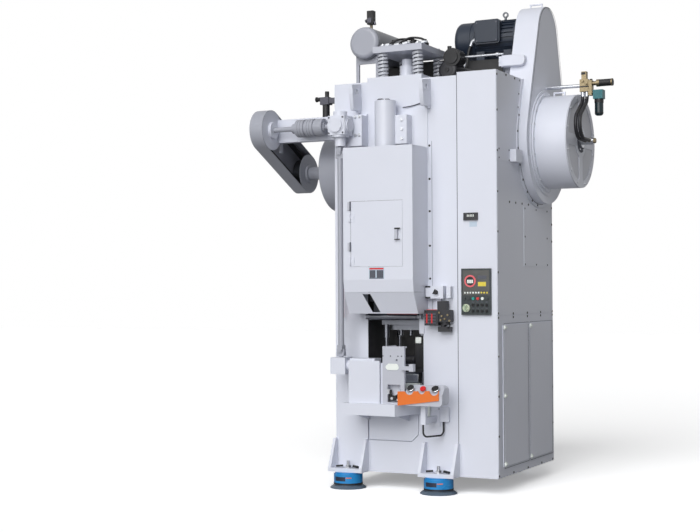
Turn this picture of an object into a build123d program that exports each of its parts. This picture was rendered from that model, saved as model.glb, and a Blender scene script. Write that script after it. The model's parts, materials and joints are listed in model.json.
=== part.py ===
"""Straight-side mechanical stamping press with side cabinet, flywheel drive and transfer drive.

The press stands on four vibration isolators. Its front faces -Y, +X is to the right of someone
standing in front of it, and +Z is up. The origin is on the floor, in the middle of the floor
area that the whole machine covers. All sizes are in millimetres.
"""

from build123d import *
import math
import os

os.makedirs("parts", exist_ok=True)

# Overall frame
axis_x = -228.0
front_y = -658.0
isolator_height = 145.0
frame_width = 1226.0
frame_depth = 1496.0
shoulder_height = 3570.0
crown_height = 3608.0
crown_block_width = 544.0

left_x = axis_x - frame_width / 2
right_x = axis_x + frame_width / 2
back_y = front_y + frame_depth
bottom_z = isolator_height
shoulder_z = bottom_z + shoulder_height
crown_z = bottom_z + crown_height

# Window, slide pocket and bed
window_width = 554.0
bed_height = 550.0
window_height = 1205.0
pocket_depth = 590.0
pocket_height = 2065.0
window_left = axis_x - window_width / 2
window_right = axis_x + window_width / 2
bed_z = bottom_z + bed_height
window_top_z = bed_z + window_height
pocket_top_z = bed_z + pocket_height
pocket_back_y = front_y + pocket_depth

# Lifting lugs and feet
lug_offset = 348.0
lug_thickness = 28.0
lug_reach = 190.0
lug_root_reach = 55.0
lug_height = 270.0
lug_drop = 12.0
lug_hole_radius = 25.0
lug_hole_reach = 91.0
lug_hole_drop = 90.0
foot_offset = 450.0
foot_width = 345.0
foot_reach = 150.0
foot_plate = 35.0
foot_rib = 28.0
foot_rib_height = 260.0
foot_rib_top = 45.0
foot_bolt_reach = 78.0

# Isolators
isolator_base_radius = 166.0
isolator_base_thickness = 24.0
isolator_ring_height = 10.0
isolator_drum_radius = 132.0
isolator_cap = 16.0
levelling_bolt_radius = 15.0
levelling_nut_radius = 27.0

# Side cabinet
cabinet_width = 371.0
cabinet_height = 3597.0
panel_sheet = 4.0
panel_gap = 6.0
panel_seam_height = 1430.0
side_x = right_x + cabinet_width
panel_x = side_x + panel_sheet
cabinet_z = bottom_z + cabinet_height
panel_seam_z = bottom_z + panel_seam_height

# Flywheel drive
drive_set_back = 1110.0
shaft_drop = 530.0
motor_height = 491.0
motor_set_back = 30.0
guard_big_radius = 575.0
guard_small_radius = 275.0
guard_wall = 8.0
guard_sink = 134.0
guard_proud = 92.0
guard_clearance = 6.0
guard_flange_width = 36.0
guard_flange_thickness = 12.0
shaft_radius = 70.0
running_gap = 0.3
shaft_gap = 0.1
flywheel_radius = 530.0
flywheel_width = 160.0
flywheel_inset = 28.0
motor_pulley_radius = 150.0
groove_depth = 12.0
groove_count = 5
drum_radius = 436.0
drum_length = 305.0
drum_wall = 6.0
end_plate_thickness = 12.0
drum_flange_radius = 468.0
drum_flange_thickness = 14.0
drive_y = front_y + drive_set_back
motor_y = drive_y + motor_set_back
shaft_z = shoulder_z - shaft_drop
motor_z = shoulder_z + motor_height
guard_back_x = side_x - guard_sink
guard_front_x = side_x + guard_proud
flywheel_back_x = guard_back_x + flywheel_inset
drum_flange_step = 10.0
drum_end_x = guard_front_x + drum_flange_step + drum_length

# Motor
motor_radius = 190.0
motor_length = 650.0
motor_inset = 12.0
fan_cover_length = 165.0
motor_shaft_radius = 27.0
motor_foot_drop = 212.0
fin_count = 26
fin_height = 14.0
motor_right_x = guard_back_x - motor_inset
motor_left_x = motor_right_x - motor_length

# Slide and guides
gib_thickness = 42.0
guide_gap = 0.5
slide_top_room = 285.0
slide_front_set_back = 30.0
slide_depth = 520.0
open_height = 850.0
slide_bottom_z = bed_z + open_height
slide_top_z = pocket_top_z - slide_top_room
gib_front_room = 40.0
gib_back_room = 60.0
gib_low_room = 155.0
gib_top_room = 160.0

# Die space
bolster_height = 110.0
bolster_width = 540.0
bolster_depth = 620.0
bolster_hole_spacing_x = 380.0
bolster_hole_spacing_y = 480.0
bolster_hole_radius = 10.2
die_shoe_width = 430.0
die_shoe_depth = 360.0
die_shoe_height = 60.0
die_holder_width = 330.0
die_holder_depth = 200.0
die_holder_height = 260.0
station_count = 3
station_pitch = 100.0
station_radius = 38.0
station_height = 30.0
post_radius = 16.0
post_clearance = 0.4
post_height = 515.0
bushing_radius = 27.0
bushing_length = 120.0
punch_radius = 20.0
punch_length = 55.0

# Slide cover
cover_shift = -15.0
cover_width = 684.0
cover_reach = 335.0
cover_sheet = 4.0
cover_top_height = 2940.0
cover_bend_height = 1752.0
cover_seam_height = 1642.0
cover_bottom_height = 1449.0
cover_seam_reach = 320.0
cover_bottom_reach = 225.0
cover_flange = 41.0
cover_top_z = bottom_z + cover_top_height
cover_bend_z = bottom_z + cover_bend_height
cover_seam_z = bottom_z + cover_seam_height
cover_bottom_z = bottom_z + cover_bottom_height
cover_left_x = axis_x + cover_shift - cover_width / 2
cover_right_x = cover_left_x + cover_width
cover_front_y = front_y - cover_reach
door_width = 508.0
door_shift = -26.0
door_rise = 118.0
door_height = 583.0
door_gap = 2.0
door_left_x = axis_x + door_shift - door_width / 2
door_right_x = door_left_x + door_width
door_bottom_z = cover_bend_z + door_rise
door_top_z = door_bottom_z + door_height
hinge_radius = 8.0
hinge_pin_radius = 4.0
hinge_pin_gap = 0.1
hinge_length = 72.0
hinge_low_rise = 50.0
hinge_spacing = 385.0

# Counterbalance cylinder
balance_shift = -34.0
balance_set_off = 115.0
balance_radius = 98.0
balance_height = 805.0
balance_drop = 60.0
balance_rod_radius = 22.0
balance_x = axis_x + balance_shift
balance_bottom_z = pocket_top_z - balance_drop
balance_top_z = balance_bottom_z + balance_height

# Transfer drive at the upper left
pto_set_off = 220.0
pto_rise = 215.0
gearbox_inset = 171.0
gearbox_size = 175.0
pto_pulley_reach = 614.0
pto_pulley_radius = 130.0
pto_pulley_width = 76.0
pto_belt_width = 60.0
pto_belt_thickness = 9.0
pto_rear_set_back = 500.0
pto_rear_drop = 355.0
pto_shaft_radius = 24.0
pto_guard_radius = 188.0
pto_guard_width = 130.0
pto_guard_wall = 5.0
side_drum_radius = 380.0
side_drum_length = 245.0
arm_height = 215.0
arm_depth = 90.0
cardan_radius = 27.0
pto_y = front_y - pto_set_off
pto_z = cover_top_z + pto_rise
pto_rear_y = front_y + pto_rear_set_back
pto_rear_z = pto_z - pto_rear_drop
gearbox_x = left_x + gearbox_inset
pto_pulley_x = left_x - pto_pulley_reach

# Transfer unit and its table
table_reach = 350.0
table_rise = 650.0
table_thickness = 105.0
table_width = 634.0
table_chamfer = 111.0
table_shift = -55.0
housing_width = 249.0
housing_depth = 262.0
housing_height = 510.0
panel_width = 309.0
plate_set_back = 50.0
panel_height = 380.0
table_top_z = bottom_z + table_rise
table_left_x = axis_x + table_shift - table_width / 2
table_right_x = table_left_x + table_width
housing_right_x = table_right_x - 2.0
housing_left_x = housing_right_x - housing_width
table_front_y = front_y - table_reach

# Two-hand control
two_hand_shift = 382.0
two_hand_rise = 735.0
two_hand_width = 392.0
two_hand_reach = 364.0
button_spacing = 235.0
palm_radius = 33.0
stop_radius = 24.0
button_stem_radius = 14.0
button_stem_gap = 0.1
palm_travel = 8.0
stop_travel = 6.0
two_hand_x = axis_x + two_hand_shift
two_hand_z = bottom_z + two_hand_rise
two_hand_front_y = front_y - two_hand_reach

# Control panel and small units on the front
screen_shift = 43.0
screen_width = 277.0
screen_height = 410.0
screen_rise = 1436.0
screen_reach = 26.0
selector_radius = 35.0
counter_width = 133.0
counter_height = 66.0
counter_rise = 2274.0
screen_left_x = right_x + screen_shift
screen_right_x = screen_left_x + screen_width
screen_bottom_z = bottom_z + screen_rise
screen_top_z = screen_bottom_z + screen_height
selector_x = screen_left_x + 49.0
selector_z = screen_bottom_z + 61.0

# Knockout unit on the crown
platform_shift = -62.0
platform_set_back = 510.0
platform_width = 500.0
platform_depth = 630.0
platform_height = 262.0
platform_thickness = 58.0
platform_travel = 20.0
spring_spacing_x = 357.0
spring_spacing_y = 480.0
spring_radius = 42.0
spring_wire_width = 16.0
spring_wire_height = 21.0
spring_turns = 7.0
spring_pin_radius = 15.0
platform_x = axis_x + platform_shift
platform_y = front_y + platform_set_back
platform_z = crown_z + platform_height

# Air tank
tank_inset = 151.0
tank_rise = 430.0
tank_radius = 152.0
tank_set_back = 300.0
tank_length = 800.0
tank_x = left_x + tank_inset
tank_z = shoulder_z + tank_rise
tank_front_y = front_y + tank_set_back

# Air preparation
valve_rise = 515.0
hose_radius = 17.0
hose_bulge = 340.0
hose_pitch = 40.0
valve_z = shaft_z + valve_rise


def slab(x, y, z, mode=Mode.ADD):
    """A block between two limits on each axis."""
    with BuildSketch(Plane.XY.offset(z[0])) as face:
        with Locations(((x[0] + x[1]) / 2, (y[0] + y[1]) / 2)):
            Rectangle(x[1] - x[0], y[1] - y[0])
    extrude(face.sketch, amount=z[1] - z[0], mode=mode)


def rod_x(y, z, radius, x, mode=Mode.ADD):
    """A round bar or bore along X, between the two limits in x."""
    with BuildSketch(Plane.YZ.offset(x[0])) as face:
        with Locations((y, z)):
            Circle(radius)
    extrude(face.sketch, amount=x[1] - x[0], mode=mode)


def rod_y(x, z, radius, y, mode=Mode.ADD):
    """A round bar or bore along Y, between the two limits in y."""
    with BuildSketch(Plane.XZ.offset(-y[0])) as face:
        with Locations((x, z)):
            Circle(radius)
    extrude(face.sketch, amount=-(y[1] - y[0]), mode=mode)


def rod_z(x, y, radius, z, mode=Mode.ADD):
    """A round bar or bore along Z, between the two limits in z."""
    with BuildSketch(Plane.XY.offset(z[0])) as face:
        with Locations((x, y)):
            Circle(radius)
    extrude(face.sketch, amount=z[1] - z[0], mode=mode)


def side_profile(points, x, mode=Mode.ADD):
    """A prism along X whose outline is given as (y, z) points."""
    with BuildSketch(Plane.YZ.offset(x[0])) as face:
        with BuildLine():
            Polyline(*points, close=True)
        make_face()
    extrude(face.sketch, amount=x[1] - x[0], mode=mode)


def front_profile(points, y, mode=Mode.ADD):
    """A prism along Y whose outline is given as (x, z) points."""
    with BuildSketch(Plane.XZ.offset(-y[0])) as face:
        with BuildLine():
            Polyline(*points, close=True)
        make_face()
    extrude(face.sketch, amount=-(y[1] - y[0]), mode=mode)


def plan_profile(points, z, mode=Mode.ADD):
    """A prism along Z whose outline is given as (x, y) points."""
    with BuildSketch(Plane.XY.offset(z[0])) as face:
        with BuildLine():
            Polyline(*points, close=True)
        make_face()
    extrude(face.sketch, amount=z[1] - z[0], mode=mode)


def belt_outline(centre_a, radius_a, centre_b, radius_b, x, mode=Mode.ADD):
    """A prism along X whose outline wraps two circles, as a belt or its guard does."""
    with BuildSketch(Plane.YZ.offset(x[0])) as face:
        with Locations(centre_a):
            Circle(radius_a)
        with Locations(centre_b):
            Circle(radius_b)
        make_hull()
    extrude(face.sketch, amount=x[1] - x[0], mode=mode)


def save(piece, name):
    """Labels a finished piece and writes it as its own STEP file."""
    piece.part.label = name
    export_step(piece.part, "parts/" + name + ".step")


foot_xs = (axis_x - foot_offset, axis_x + foot_offset)
foot_ys = (front_y - foot_bolt_reach, back_y + foot_bolt_reach)
foot_places = [(x, y) for x in foot_xs for y in foot_ys]

plate_left_x = window_left
plate_right_x = window_right - 59.0
plate_bottom_z = bottom_z + 296.0
plate_corner = 63.0
plate_gap = 8.0
plate_thickness = 22.0
table_bottom_z = table_top_z - table_thickness


def bed_plate_points(grow):
    """Outline of the bed's front plate, grown by the shadow gap for the recess that holds it."""
    corner = plate_corner + grow * (math.sqrt(2) - 1)
    left = plate_left_x - grow
    right = plate_right_x + grow
    low = plate_bottom_z - grow
    return [
        (left, low),
        (right - corner, low),
        (right, low + corner),
        (right, table_bottom_z),
        (left, table_bottom_z),
    ]


# Welded frame: bed, two uprights and crown in one piece, with lugs and feet
bearing_depth = 90.0
pad_thickness = 12.0
pad_left_x = axis_x - 148.0
pad_right_x = axis_x + lug_offset - lug_thickness / 2
pad_rise = 260.0
pad_height = 485.0
pad_z = (balance_bottom_z + pad_rise, balance_bottom_z + pad_rise + pad_height)
with BuildPart() as frame:
    slab((left_x, right_x), (front_y, back_y), (bottom_z, shoulder_z))
    slab(
        (axis_x - crown_block_width / 2, axis_x + crown_block_width / 2),
        (front_y, back_y),
        (shoulder_z, crown_z),
    )
    slab((window_left, window_right), (front_y, back_y), (bed_z, window_top_z), Mode.SUBTRACT)
    slab(
        (window_left, window_right),
        (front_y, pocket_back_y),
        (window_top_z, pocket_top_z),
        Mode.SUBTRACT,
    )
    slab((pad_left_x, pad_right_x), (front_y - pad_thickness, front_y), pad_z)
    for side in (-1, 1):
        lug_x = axis_x + side * lug_offset
        lug_top = shoulder_z - lug_drop
        side_profile(
            [
                (front_y, lug_top),
                (front_y - lug_reach, lug_top - 30),
                (front_y - lug_reach, lug_top - 60),
                (front_y - lug_root_reach, lug_top - lug_height),
                (front_y, lug_top - lug_height),
            ],
            (lug_x - lug_thickness / 2, lug_x + lug_thickness / 2),
        )
        rod_x(
            front_y - lug_hole_reach,
            shoulder_z - lug_hole_drop,
            lug_hole_radius,
            (lug_x - lug_thickness, lug_x + lug_thickness),
            Mode.SUBTRACT,
        )
    for face_y, way in ((front_y, -1), (back_y, 1)):
        for foot_x in foot_xs:
            reach = sorted((face_y, face_y + way * foot_reach))
            slab(
                (foot_x - foot_width / 2, foot_x + foot_width / 2),
                reach,
                (bottom_z, bottom_z + foot_plate),
            )
            for end in (-1, 1):
                rib_x = foot_x + end * (foot_width - foot_rib) / 2
                side_profile(
                    [
                        (face_y, bottom_z + foot_plate),
                        (face_y + way * foot_reach, bottom_z + foot_plate),
                        (face_y + way * foot_rib_top, bottom_z + foot_plate + foot_rib_height),
                        (face_y, bottom_z + foot_plate + foot_rib_height),
                    ],
                    (rib_x - foot_rib / 2, rib_x + foot_rib / 2),
                )
    for foot_x, foot_y in foot_places:
        rod_z(
            foot_x,
            foot_y,
            levelling_bolt_radius + running_gap,
            (bottom_z, bottom_z + foot_plate),
            Mode.SUBTRACT,
        )
    front_profile(
        bed_plate_points(plate_gap),
        (front_y, front_y + plate_thickness + plate_gap),
        Mode.SUBTRACT,
    )
    rod_x(
        drive_y,
        shaft_z,
        shaft_radius + shaft_gap,
        (right_x - bearing_depth, right_x),
        Mode.SUBTRACT,
    )
save(frame, "frame")

# Plate let into the front of the bed
with BuildPart() as bed_plate:
    front_profile(bed_plate_points(0), (front_y + plate_gap, front_y + plate_gap + plate_thickness))
save(bed_plate, "bed_plate")

# Isolators: a steel base disc, a moulded drum and a levelling bolt at each foot
drum_bottom_z = isolator_base_thickness + isolator_ring_height
drum_top_z = isolator_height - isolator_cap
with BuildPart() as isolator_bases:
    for foot_x, foot_y in foot_places:
        with BuildSketch(Plane.XZ.offset(-foot_y)) as half:
            with BuildLine():
                Polyline(
                    (foot_x, 0),
                    (foot_x + isolator_base_radius, 0),
                    (foot_x + isolator_base_radius, 8),
                    (foot_x + isolator_base_radius - 22, isolator_base_thickness),
                    (foot_x + isolator_drum_radius - 6, isolator_base_thickness),
                    (foot_x + isolator_drum_radius - 6, drum_bottom_z),
                    (foot_x, drum_bottom_z),
                    close=True,
                )
            make_face()
        revolve(half.sketch, axis=Axis((foot_x, foot_y, 0), (0, 0, 1)))
save(isolator_bases, "isolator_bases")

with BuildPart() as isolator_drums:
    for foot_x, foot_y in foot_places:
        rod_z(foot_x, foot_y, isolator_drum_radius, (drum_bottom_z, drum_top_z))
        rod_z(foot_x, foot_y, isolator_drum_radius - 12, (drum_top_z, isolator_height))
save(isolator_drums, "isolator_drums")

with BuildPart() as levelling_bolts:
    for foot_x, foot_y in foot_places:
        rod_z(foot_x, foot_y, levelling_bolt_radius, (isolator_height, bottom_z + foot_plate + 62))
        with BuildSketch(Plane.XY.offset(bottom_z + foot_plate)) as nut:
            with Locations((foot_x, foot_y)):
                RegularPolygon(levelling_nut_radius, 6)
        extrude(nut.sketch, amount=24)
save(levelling_bolts, "levelling_bolts")

# Side cabinet, notched for the flywheel guard that sinks into its right side
shaft_y = drive_y
with BuildPart() as cabinet:
    slab((right_x, side_x), (front_y, back_y), (bottom_z, cabinet_z))
    belt_outline(
        (shaft_y, shaft_z),
        guard_big_radius + guard_clearance,
        (motor_y, motor_z),
        guard_small_radius + guard_clearance,
        (guard_back_x - running_gap, side_x),
        Mode.SUBTRACT,
    )
    rod_x(shaft_y, shaft_z, shaft_radius + 10, (right_x, guard_back_x), Mode.SUBTRACT)
save(cabinet, "cabinet")

# Side panels: an upper one cut round the guard and two lower ones with folded edges
panel_margin = 7.0
door_sheet = 16.0
side_door_width = 612.0
side_door_post = 62.0
side_door_inset = 113.0
side_door_rise = 95.0
side_door_drop = 85.0
side_door_fold = 10.0
hatch_y = (front_y + 683.0, front_y + 1358.0)
hatch_height = 549.0
hatch_drop = 8.0
hatch_sheet = 3.0
with BuildPart() as side_panels:
    slab(
        (side_x, panel_x),
        (front_y + panel_margin, back_y - panel_margin),
        (panel_seam_z + panel_gap / 2, cabinet_z - panel_margin),
    )
    hatch_z = shaft_z - guard_big_radius - guard_flange_width - hatch_drop
    slab((panel_x, panel_x + hatch_sheet), hatch_y, (hatch_z - hatch_height, hatch_z))
    belt_outline(
        (shaft_y, shaft_z),
        guard_big_radius + guard_flange_width + guard_clearance,
        (motor_y, motor_z),
        guard_small_radius + guard_flange_width + guard_clearance,
        (side_x, panel_x),
        Mode.SUBTRACT,
    )
    slab(
        (side_x, panel_x),
        (front_y + panel_margin, back_y - panel_margin),
        (bottom_z + panel_margin, panel_seam_z - panel_gap / 2),
    )
    for number in range(2):
        door_start_y = front_y + side_door_inset + number * (side_door_width + side_door_post)
        slab(
            (panel_x, panel_x + door_sheet),
            (door_start_y, door_start_y + side_door_width),
            (bottom_z + side_door_rise, panel_seam_z - side_door_drop),
        )
        chamfer(
            side_panels.edges().filter_by(Axis.Z).filter_by_position(
                Axis.X, panel_x + door_sheet - 1, panel_x + door_sheet + 1
            ).filter_by_position(Axis.Y, door_start_y - 1, door_start_y + 1),
            length=side_door_fold,
        )
save(side_panels, "side_panels")

# Small junction box on the side panel
box_width = 165.0
box_height = 115.0
box_reach = 62.0
box_drop = 235.0
box_y_end = shaft_y - guard_big_radius - guard_flange_width - guard_clearance
box_y = (box_y_end - box_width, box_y_end)
box_z = (shaft_z - box_drop, shaft_z - box_drop + box_height)
with BuildPart() as junction_box:
    slab((panel_x, panel_x + box_reach), box_y, box_z)
    fillet(junction_box.edges().filter_by(Axis.X), radius=8)
save(junction_box, "junction_box")

# Belt and flywheel guard: a shell with a flange at the drum
guard_shaft_hole = 110.0
with BuildPart() as belt_guard:
    belt_outline(
        (shaft_y, shaft_z),
        guard_big_radius,
        (motor_y, motor_z),
        guard_small_radius,
        (guard_back_x, guard_front_x),
    )
    belt_outline(
        (shaft_y, shaft_z),
        guard_big_radius - guard_wall,
        (motor_y, motor_z),
        guard_small_radius - guard_wall,
        (guard_back_x + guard_wall, guard_front_x - guard_wall),
        Mode.SUBTRACT,
    )
    with BuildPart(mode=Mode.PRIVATE) as flange:
        flange_x = (side_x, side_x + guard_flange_thickness)
        belt_outline(
            (shaft_y, shaft_z),
            guard_big_radius + guard_flange_width,
            (motor_y, motor_z),
            guard_small_radius + guard_flange_width,
            flange_x,
        )
        belt_outline(
            (shaft_y, shaft_z),
            guard_big_radius - guard_wall,
            (motor_y, motor_z),
            guard_small_radius - guard_wall,
            flange_x,
            Mode.SUBTRACT,
        )
        slab(
            flange_x,
            (shaft_y - 2 * guard_big_radius, back_y),
            (shaft_z - 2 * guard_big_radius, cabinet_z),
            Mode.INTERSECT,
        )
    add(flange.part)
    rod_x(
        shaft_y,
        shaft_z,
        drum_flange_radius + 30,
        (guard_front_x, guard_front_x + drum_flange_step),
    )
    rod_x(
        shaft_y,
        shaft_z,
        drum_radius - drum_wall,
        (guard_front_x - guard_wall, guard_front_x + drum_flange_step),
        Mode.SUBTRACT,
    )
    for bore_y, bore_z, radius in (
        (shaft_y, shaft_z, guard_shaft_hole),
        (motor_y, motor_z, motor_shaft_radius + 33),
    ):
        rod_x(bore_y, bore_z, radius, (guard_back_x, guard_back_x + guard_wall), Mode.SUBTRACT)
save(belt_guard, "belt_guard")

# Drum cover over the clutch and its end plate with four recessed sectors
drum_start_x = guard_front_x + drum_flange_step
with BuildPart() as drum_cover:
    rod_x(shaft_y, shaft_z, drum_radius, (drum_start_x, drum_end_x))
    rod_x(
        shaft_y,
        shaft_z,
        drum_flange_radius,
        (drum_start_x, drum_start_x + drum_flange_thickness),
    )
    rod_x(shaft_y, shaft_z, drum_radius - drum_wall, (drum_start_x, drum_end_x), Mode.SUBTRACT)
save(drum_cover, "drum_cover")

sector_inner = 150.0
sector_margin = 62.0
sector_rib = 104.0
sector_depth = 5.0
sector_corner = 22.0
end_face_x = drum_end_x + end_plate_thickness
union_bore = 45.0
with BuildPart() as drum_end_plate:
    rod_x(shaft_y, shaft_z, drum_radius, (drum_end_x, end_face_x))
    with BuildSketch(Plane.YZ.offset(end_face_x - sector_depth)) as sectors:
        with Locations((shaft_y, shaft_z)):
            Circle(drum_radius - sector_margin)
            Circle(sector_inner, mode=Mode.SUBTRACT)
            Rectangle(2 * drum_radius, sector_rib, mode=Mode.SUBTRACT)
            Rectangle(sector_rib, 2 * drum_radius, mode=Mode.SUBTRACT)
        fillet(sectors.vertices(), radius=sector_corner)
    extrude(sectors.sketch, amount=sector_depth, mode=Mode.SUBTRACT)
    rod_x(shaft_y, shaft_z, union_bore, (drum_end_x, end_face_x), Mode.SUBTRACT)
save(drum_end_plate, "drum_end_plate")

# Main shaft with its clutch hub, and the flywheel that runs free on it
clutch_radius = 300.0
clutch_x = (guard_front_x + 20, drum_end_x - 53)
shaft_end_x = drum_end_x - 13
hub_radius = 130.0
with BuildPart() as main_shaft:
    rod_x(shaft_y, shaft_z, clutch_radius, clutch_x)
    for plate in range(3):
        groove_x = clutch_x[0] + 40 + 55 * plate
        with BuildSketch(Plane.YZ.offset(groove_x)) as ring:
            with Locations((shaft_y, shaft_z)):
                Circle(clutch_radius)
                Circle(clutch_radius - 30, mode=Mode.SUBTRACT)
        extrude(ring.sketch, amount=18, mode=Mode.SUBTRACT)
    rod_x(shaft_y, shaft_z, shaft_radius, (right_x - bearing_depth + 5, shaft_end_x))
save(main_shaft, "main_shaft")

with BuildPart() as flywheel:
    with BuildSketch(Plane.XY) as half:
        with BuildLine():
            back = flywheel_back_x
            front = flywheel_back_x + flywheel_width
            pitch = flywheel_width / groove_count
            rim_points = []
            for groove in range(groove_count):
                start = back + groove * pitch
                rim_points += [
                    (start + 0.15 * pitch, flywheel_radius),
                    (start + 0.35 * pitch, flywheel_radius - groove_depth),
                    (start + 0.65 * pitch, flywheel_radius - groove_depth),
                    (start + 0.85 * pitch, flywheel_radius),
                ]
            Polyline(
                (back, flywheel_radius - 90),
                (back, flywheel_radius),
                *rim_points,
                (front, flywheel_radius),
                (front, flywheel_radius - 90),
                (front - 50, flywheel_radius - 90),
                (front - 50, hub_radius),
                (front, hub_radius),
                (front, shaft_radius + shaft_gap),
                (back, shaft_radius + shaft_gap),
                (back, hub_radius),
                (back + 50, hub_radius),
                (back + 50, flywheel_radius - 90),
                close=True,
            )
        make_face()
    revolve(half.sketch, axis=Axis.X)
flywheel.part = flywheel.part.moved(Location((0, shaft_y, shaft_z)))
save(flywheel, "flywheel")

# Motor on its adjustable base
motor_body_x = (motor_left_x + fan_cover_length, motor_right_x)
with BuildPart() as motor:
    rod_x(motor_y, motor_z, motor_radius - fin_height, motor_body_x)
    for end_x in (motor_body_x[0], motor_body_x[1] - 45):
        rod_x(motor_y, motor_z, motor_radius - 3, (end_x, end_x + 45))
    for fin in range(fin_count):
        turn = 360.0 * fin / fin_count
        with BuildSketch(Plane.YZ.offset(motor_body_x[0] + 45)) as rib:
            with Locations((motor_y, motor_z)):
                with PolarLocations(motor_radius - fin_height / 2 - 4, 1, start_angle=turn):
                    Rectangle(fin_height + 8, 7)
        extrude(rib.sketch, amount=motor_body_x[1] - motor_body_x[0] - 90)
    for foot_end in (motor_body_x[0] + 60, motor_body_x[1] - 150):
        slab(
            (foot_end, foot_end + 80),
            (motor_y - 150, motor_y + 150),
            (motor_z - motor_foot_drop, motor_z - 120),
        )
    eye_x = (motor_body_x[0] + motor_body_x[1]) / 2 + 60
    rod_z(
        eye_x,
        motor_y,
        12,
        (motor_z + motor_radius - 20, motor_z + motor_radius + 32),
    )
    eye_z = motor_z + motor_radius + 50
    rod_y(eye_x, eye_z, 29, (motor_y - 7, motor_y + 7))
    rod_y(eye_x, eye_z, 15, (motor_y - 7, motor_y + 7), Mode.SUBTRACT)
    rod_x(motor_y, motor_z, motor_radius + 2, (motor_left_x, motor_body_x[0]))
    fillet(motor.edges().filter_by(GeomType.CIRCLE).sort_by(Axis.X)[0], radius=48)
save(motor, "motor")

terminal_x = (motor_left_x + 230.0, motor_left_x + 485.0)
terminal_y = (motor_y - 218.0, motor_y - 158.0)
terminal_z = (motor_z - 60.0, motor_z + 170.0)
with BuildPart() as terminal_box:
    slab(terminal_x, terminal_y, terminal_z)
    fillet(terminal_box.edges().filter_by(Axis.Y), radius=26)
    slab(
        (terminal_x[0] + 14, terminal_x[1] - 14),
        (terminal_y[0] - 8, terminal_y[0]),
        (terminal_z[0] + 14, terminal_z[1] - 14),
    )
    slab(
        (terminal_x[0] + 40, terminal_x[1] - 40),
        (terminal_y[1], motor_y - 60),
        (terminal_z[0] + 35, motor_z + 75),
    )
    rod_x(motor_y, motor_z, motor_radius + running_gap, terminal_x, Mode.SUBTRACT)
save(terminal_box, "terminal_box")

base_inset = 125.0
base_length = 475.0
base_half_depth = 210.0
base_plate = 40.0
rail_thickness = 26.0
post_width = 40.0
post_inset = 20.0
tie_radius = 14.0
tie_stand_off = 24.0
tie_drop = 30.0
base_x = (motor_left_x + base_inset, motor_left_x + base_inset + base_length)
base_y = (motor_y - base_half_depth, motor_y + base_half_depth)
base_top_z = cabinet_z + base_plate
motor_foot_z = motor_z - motor_foot_drop
rail_z = motor_foot_z - rail_thickness
post_xs = (base_x[0] + post_inset, base_x[1] - post_inset - post_width)
with BuildPart() as motor_base:
    slab((base_x[0], right_x), base_y, (shoulder_z, base_top_z))
    slab((right_x, base_x[1]), base_y, (cabinet_z, base_top_z))
    slab(base_x, base_y, (rail_z, motor_foot_z))
    for post_x in post_xs:
        wide = (post_x, post_x + post_width)
        slab(wide, (base_y[0], base_y[0] + post_width), (base_top_z, rail_z))
        slab(wide, (base_y[1] - post_width, base_y[1]), (base_top_z, rail_z))
        slab(wide, (base_y[0] - post_width, base_y[0]), (rail_z - 50, rail_z - 10))
    rod_x(base_y[0] - tie_stand_off, rail_z - tie_drop, tie_radius, (base_x[0] - 30, base_x[1] + 30))
    slab((base_x[0] + 90, base_x[1] - 110), base_y, (base_top_z, rail_z))
save(motor_base, "motor_base")

# Motor pulley with its shaft, and the belts that run to the flywheel
with BuildPart() as motor_pulley:
    rod_x(
        motor_y,
        motor_z,
        motor_pulley_radius,
        (flywheel_back_x, flywheel_back_x + flywheel_width),
    )
    for groove in range(groove_count):
        pitch = flywheel_width / groove_count
        with BuildSketch(Plane.YZ.offset(flywheel_back_x + (groove + 0.25) * pitch)) as ring:
            with Locations((motor_y, motor_z)):
                Circle(motor_pulley_radius)
                Circle(motor_pulley_radius - groove_depth, mode=Mode.SUBTRACT)
        extrude(ring.sketch, amount=pitch / 2, mode=Mode.SUBTRACT)
    rod_x(motor_y, motor_z, motor_shaft_radius, (motor_right_x + running_gap, flywheel_back_x))
save(motor_pulley, "motor_pulley")

belt_height = 12.0
with BuildPart() as drive_belts:
    for groove in range(groove_count):
        belt_start = flywheel_back_x + (groove + 0.22) * flywheel_width / groove_count
        belt_x = (belt_start, belt_start + 0.56 * flywheel_width / groove_count)
        belt_outline(
            (shaft_y, shaft_z),
            flywheel_radius + running_gap + belt_height,
            (motor_y, motor_z),
            motor_pulley_radius + running_gap + belt_height,
            belt_x,
        )
        belt_outline(
            (shaft_y, shaft_z),
            flywheel_radius + running_gap,
            (motor_y, motor_z),
            motor_pulley_radius + running_gap,
            belt_x,
            Mode.SUBTRACT,
        )
save(drive_belts, "drive_belts")

# Guides and slide
gib_y = (front_y + gib_front_room, pocket_back_y - gib_back_room)
gib_z = (slide_bottom_z + gib_low_room, pocket_top_z - gib_top_room)
with BuildPart() as gibs:
    slab((window_left, window_left + gib_thickness), gib_y, gib_z)
    slab((window_right - gib_thickness, window_right), gib_y, gib_z)
save(gibs, "gibs")

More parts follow.
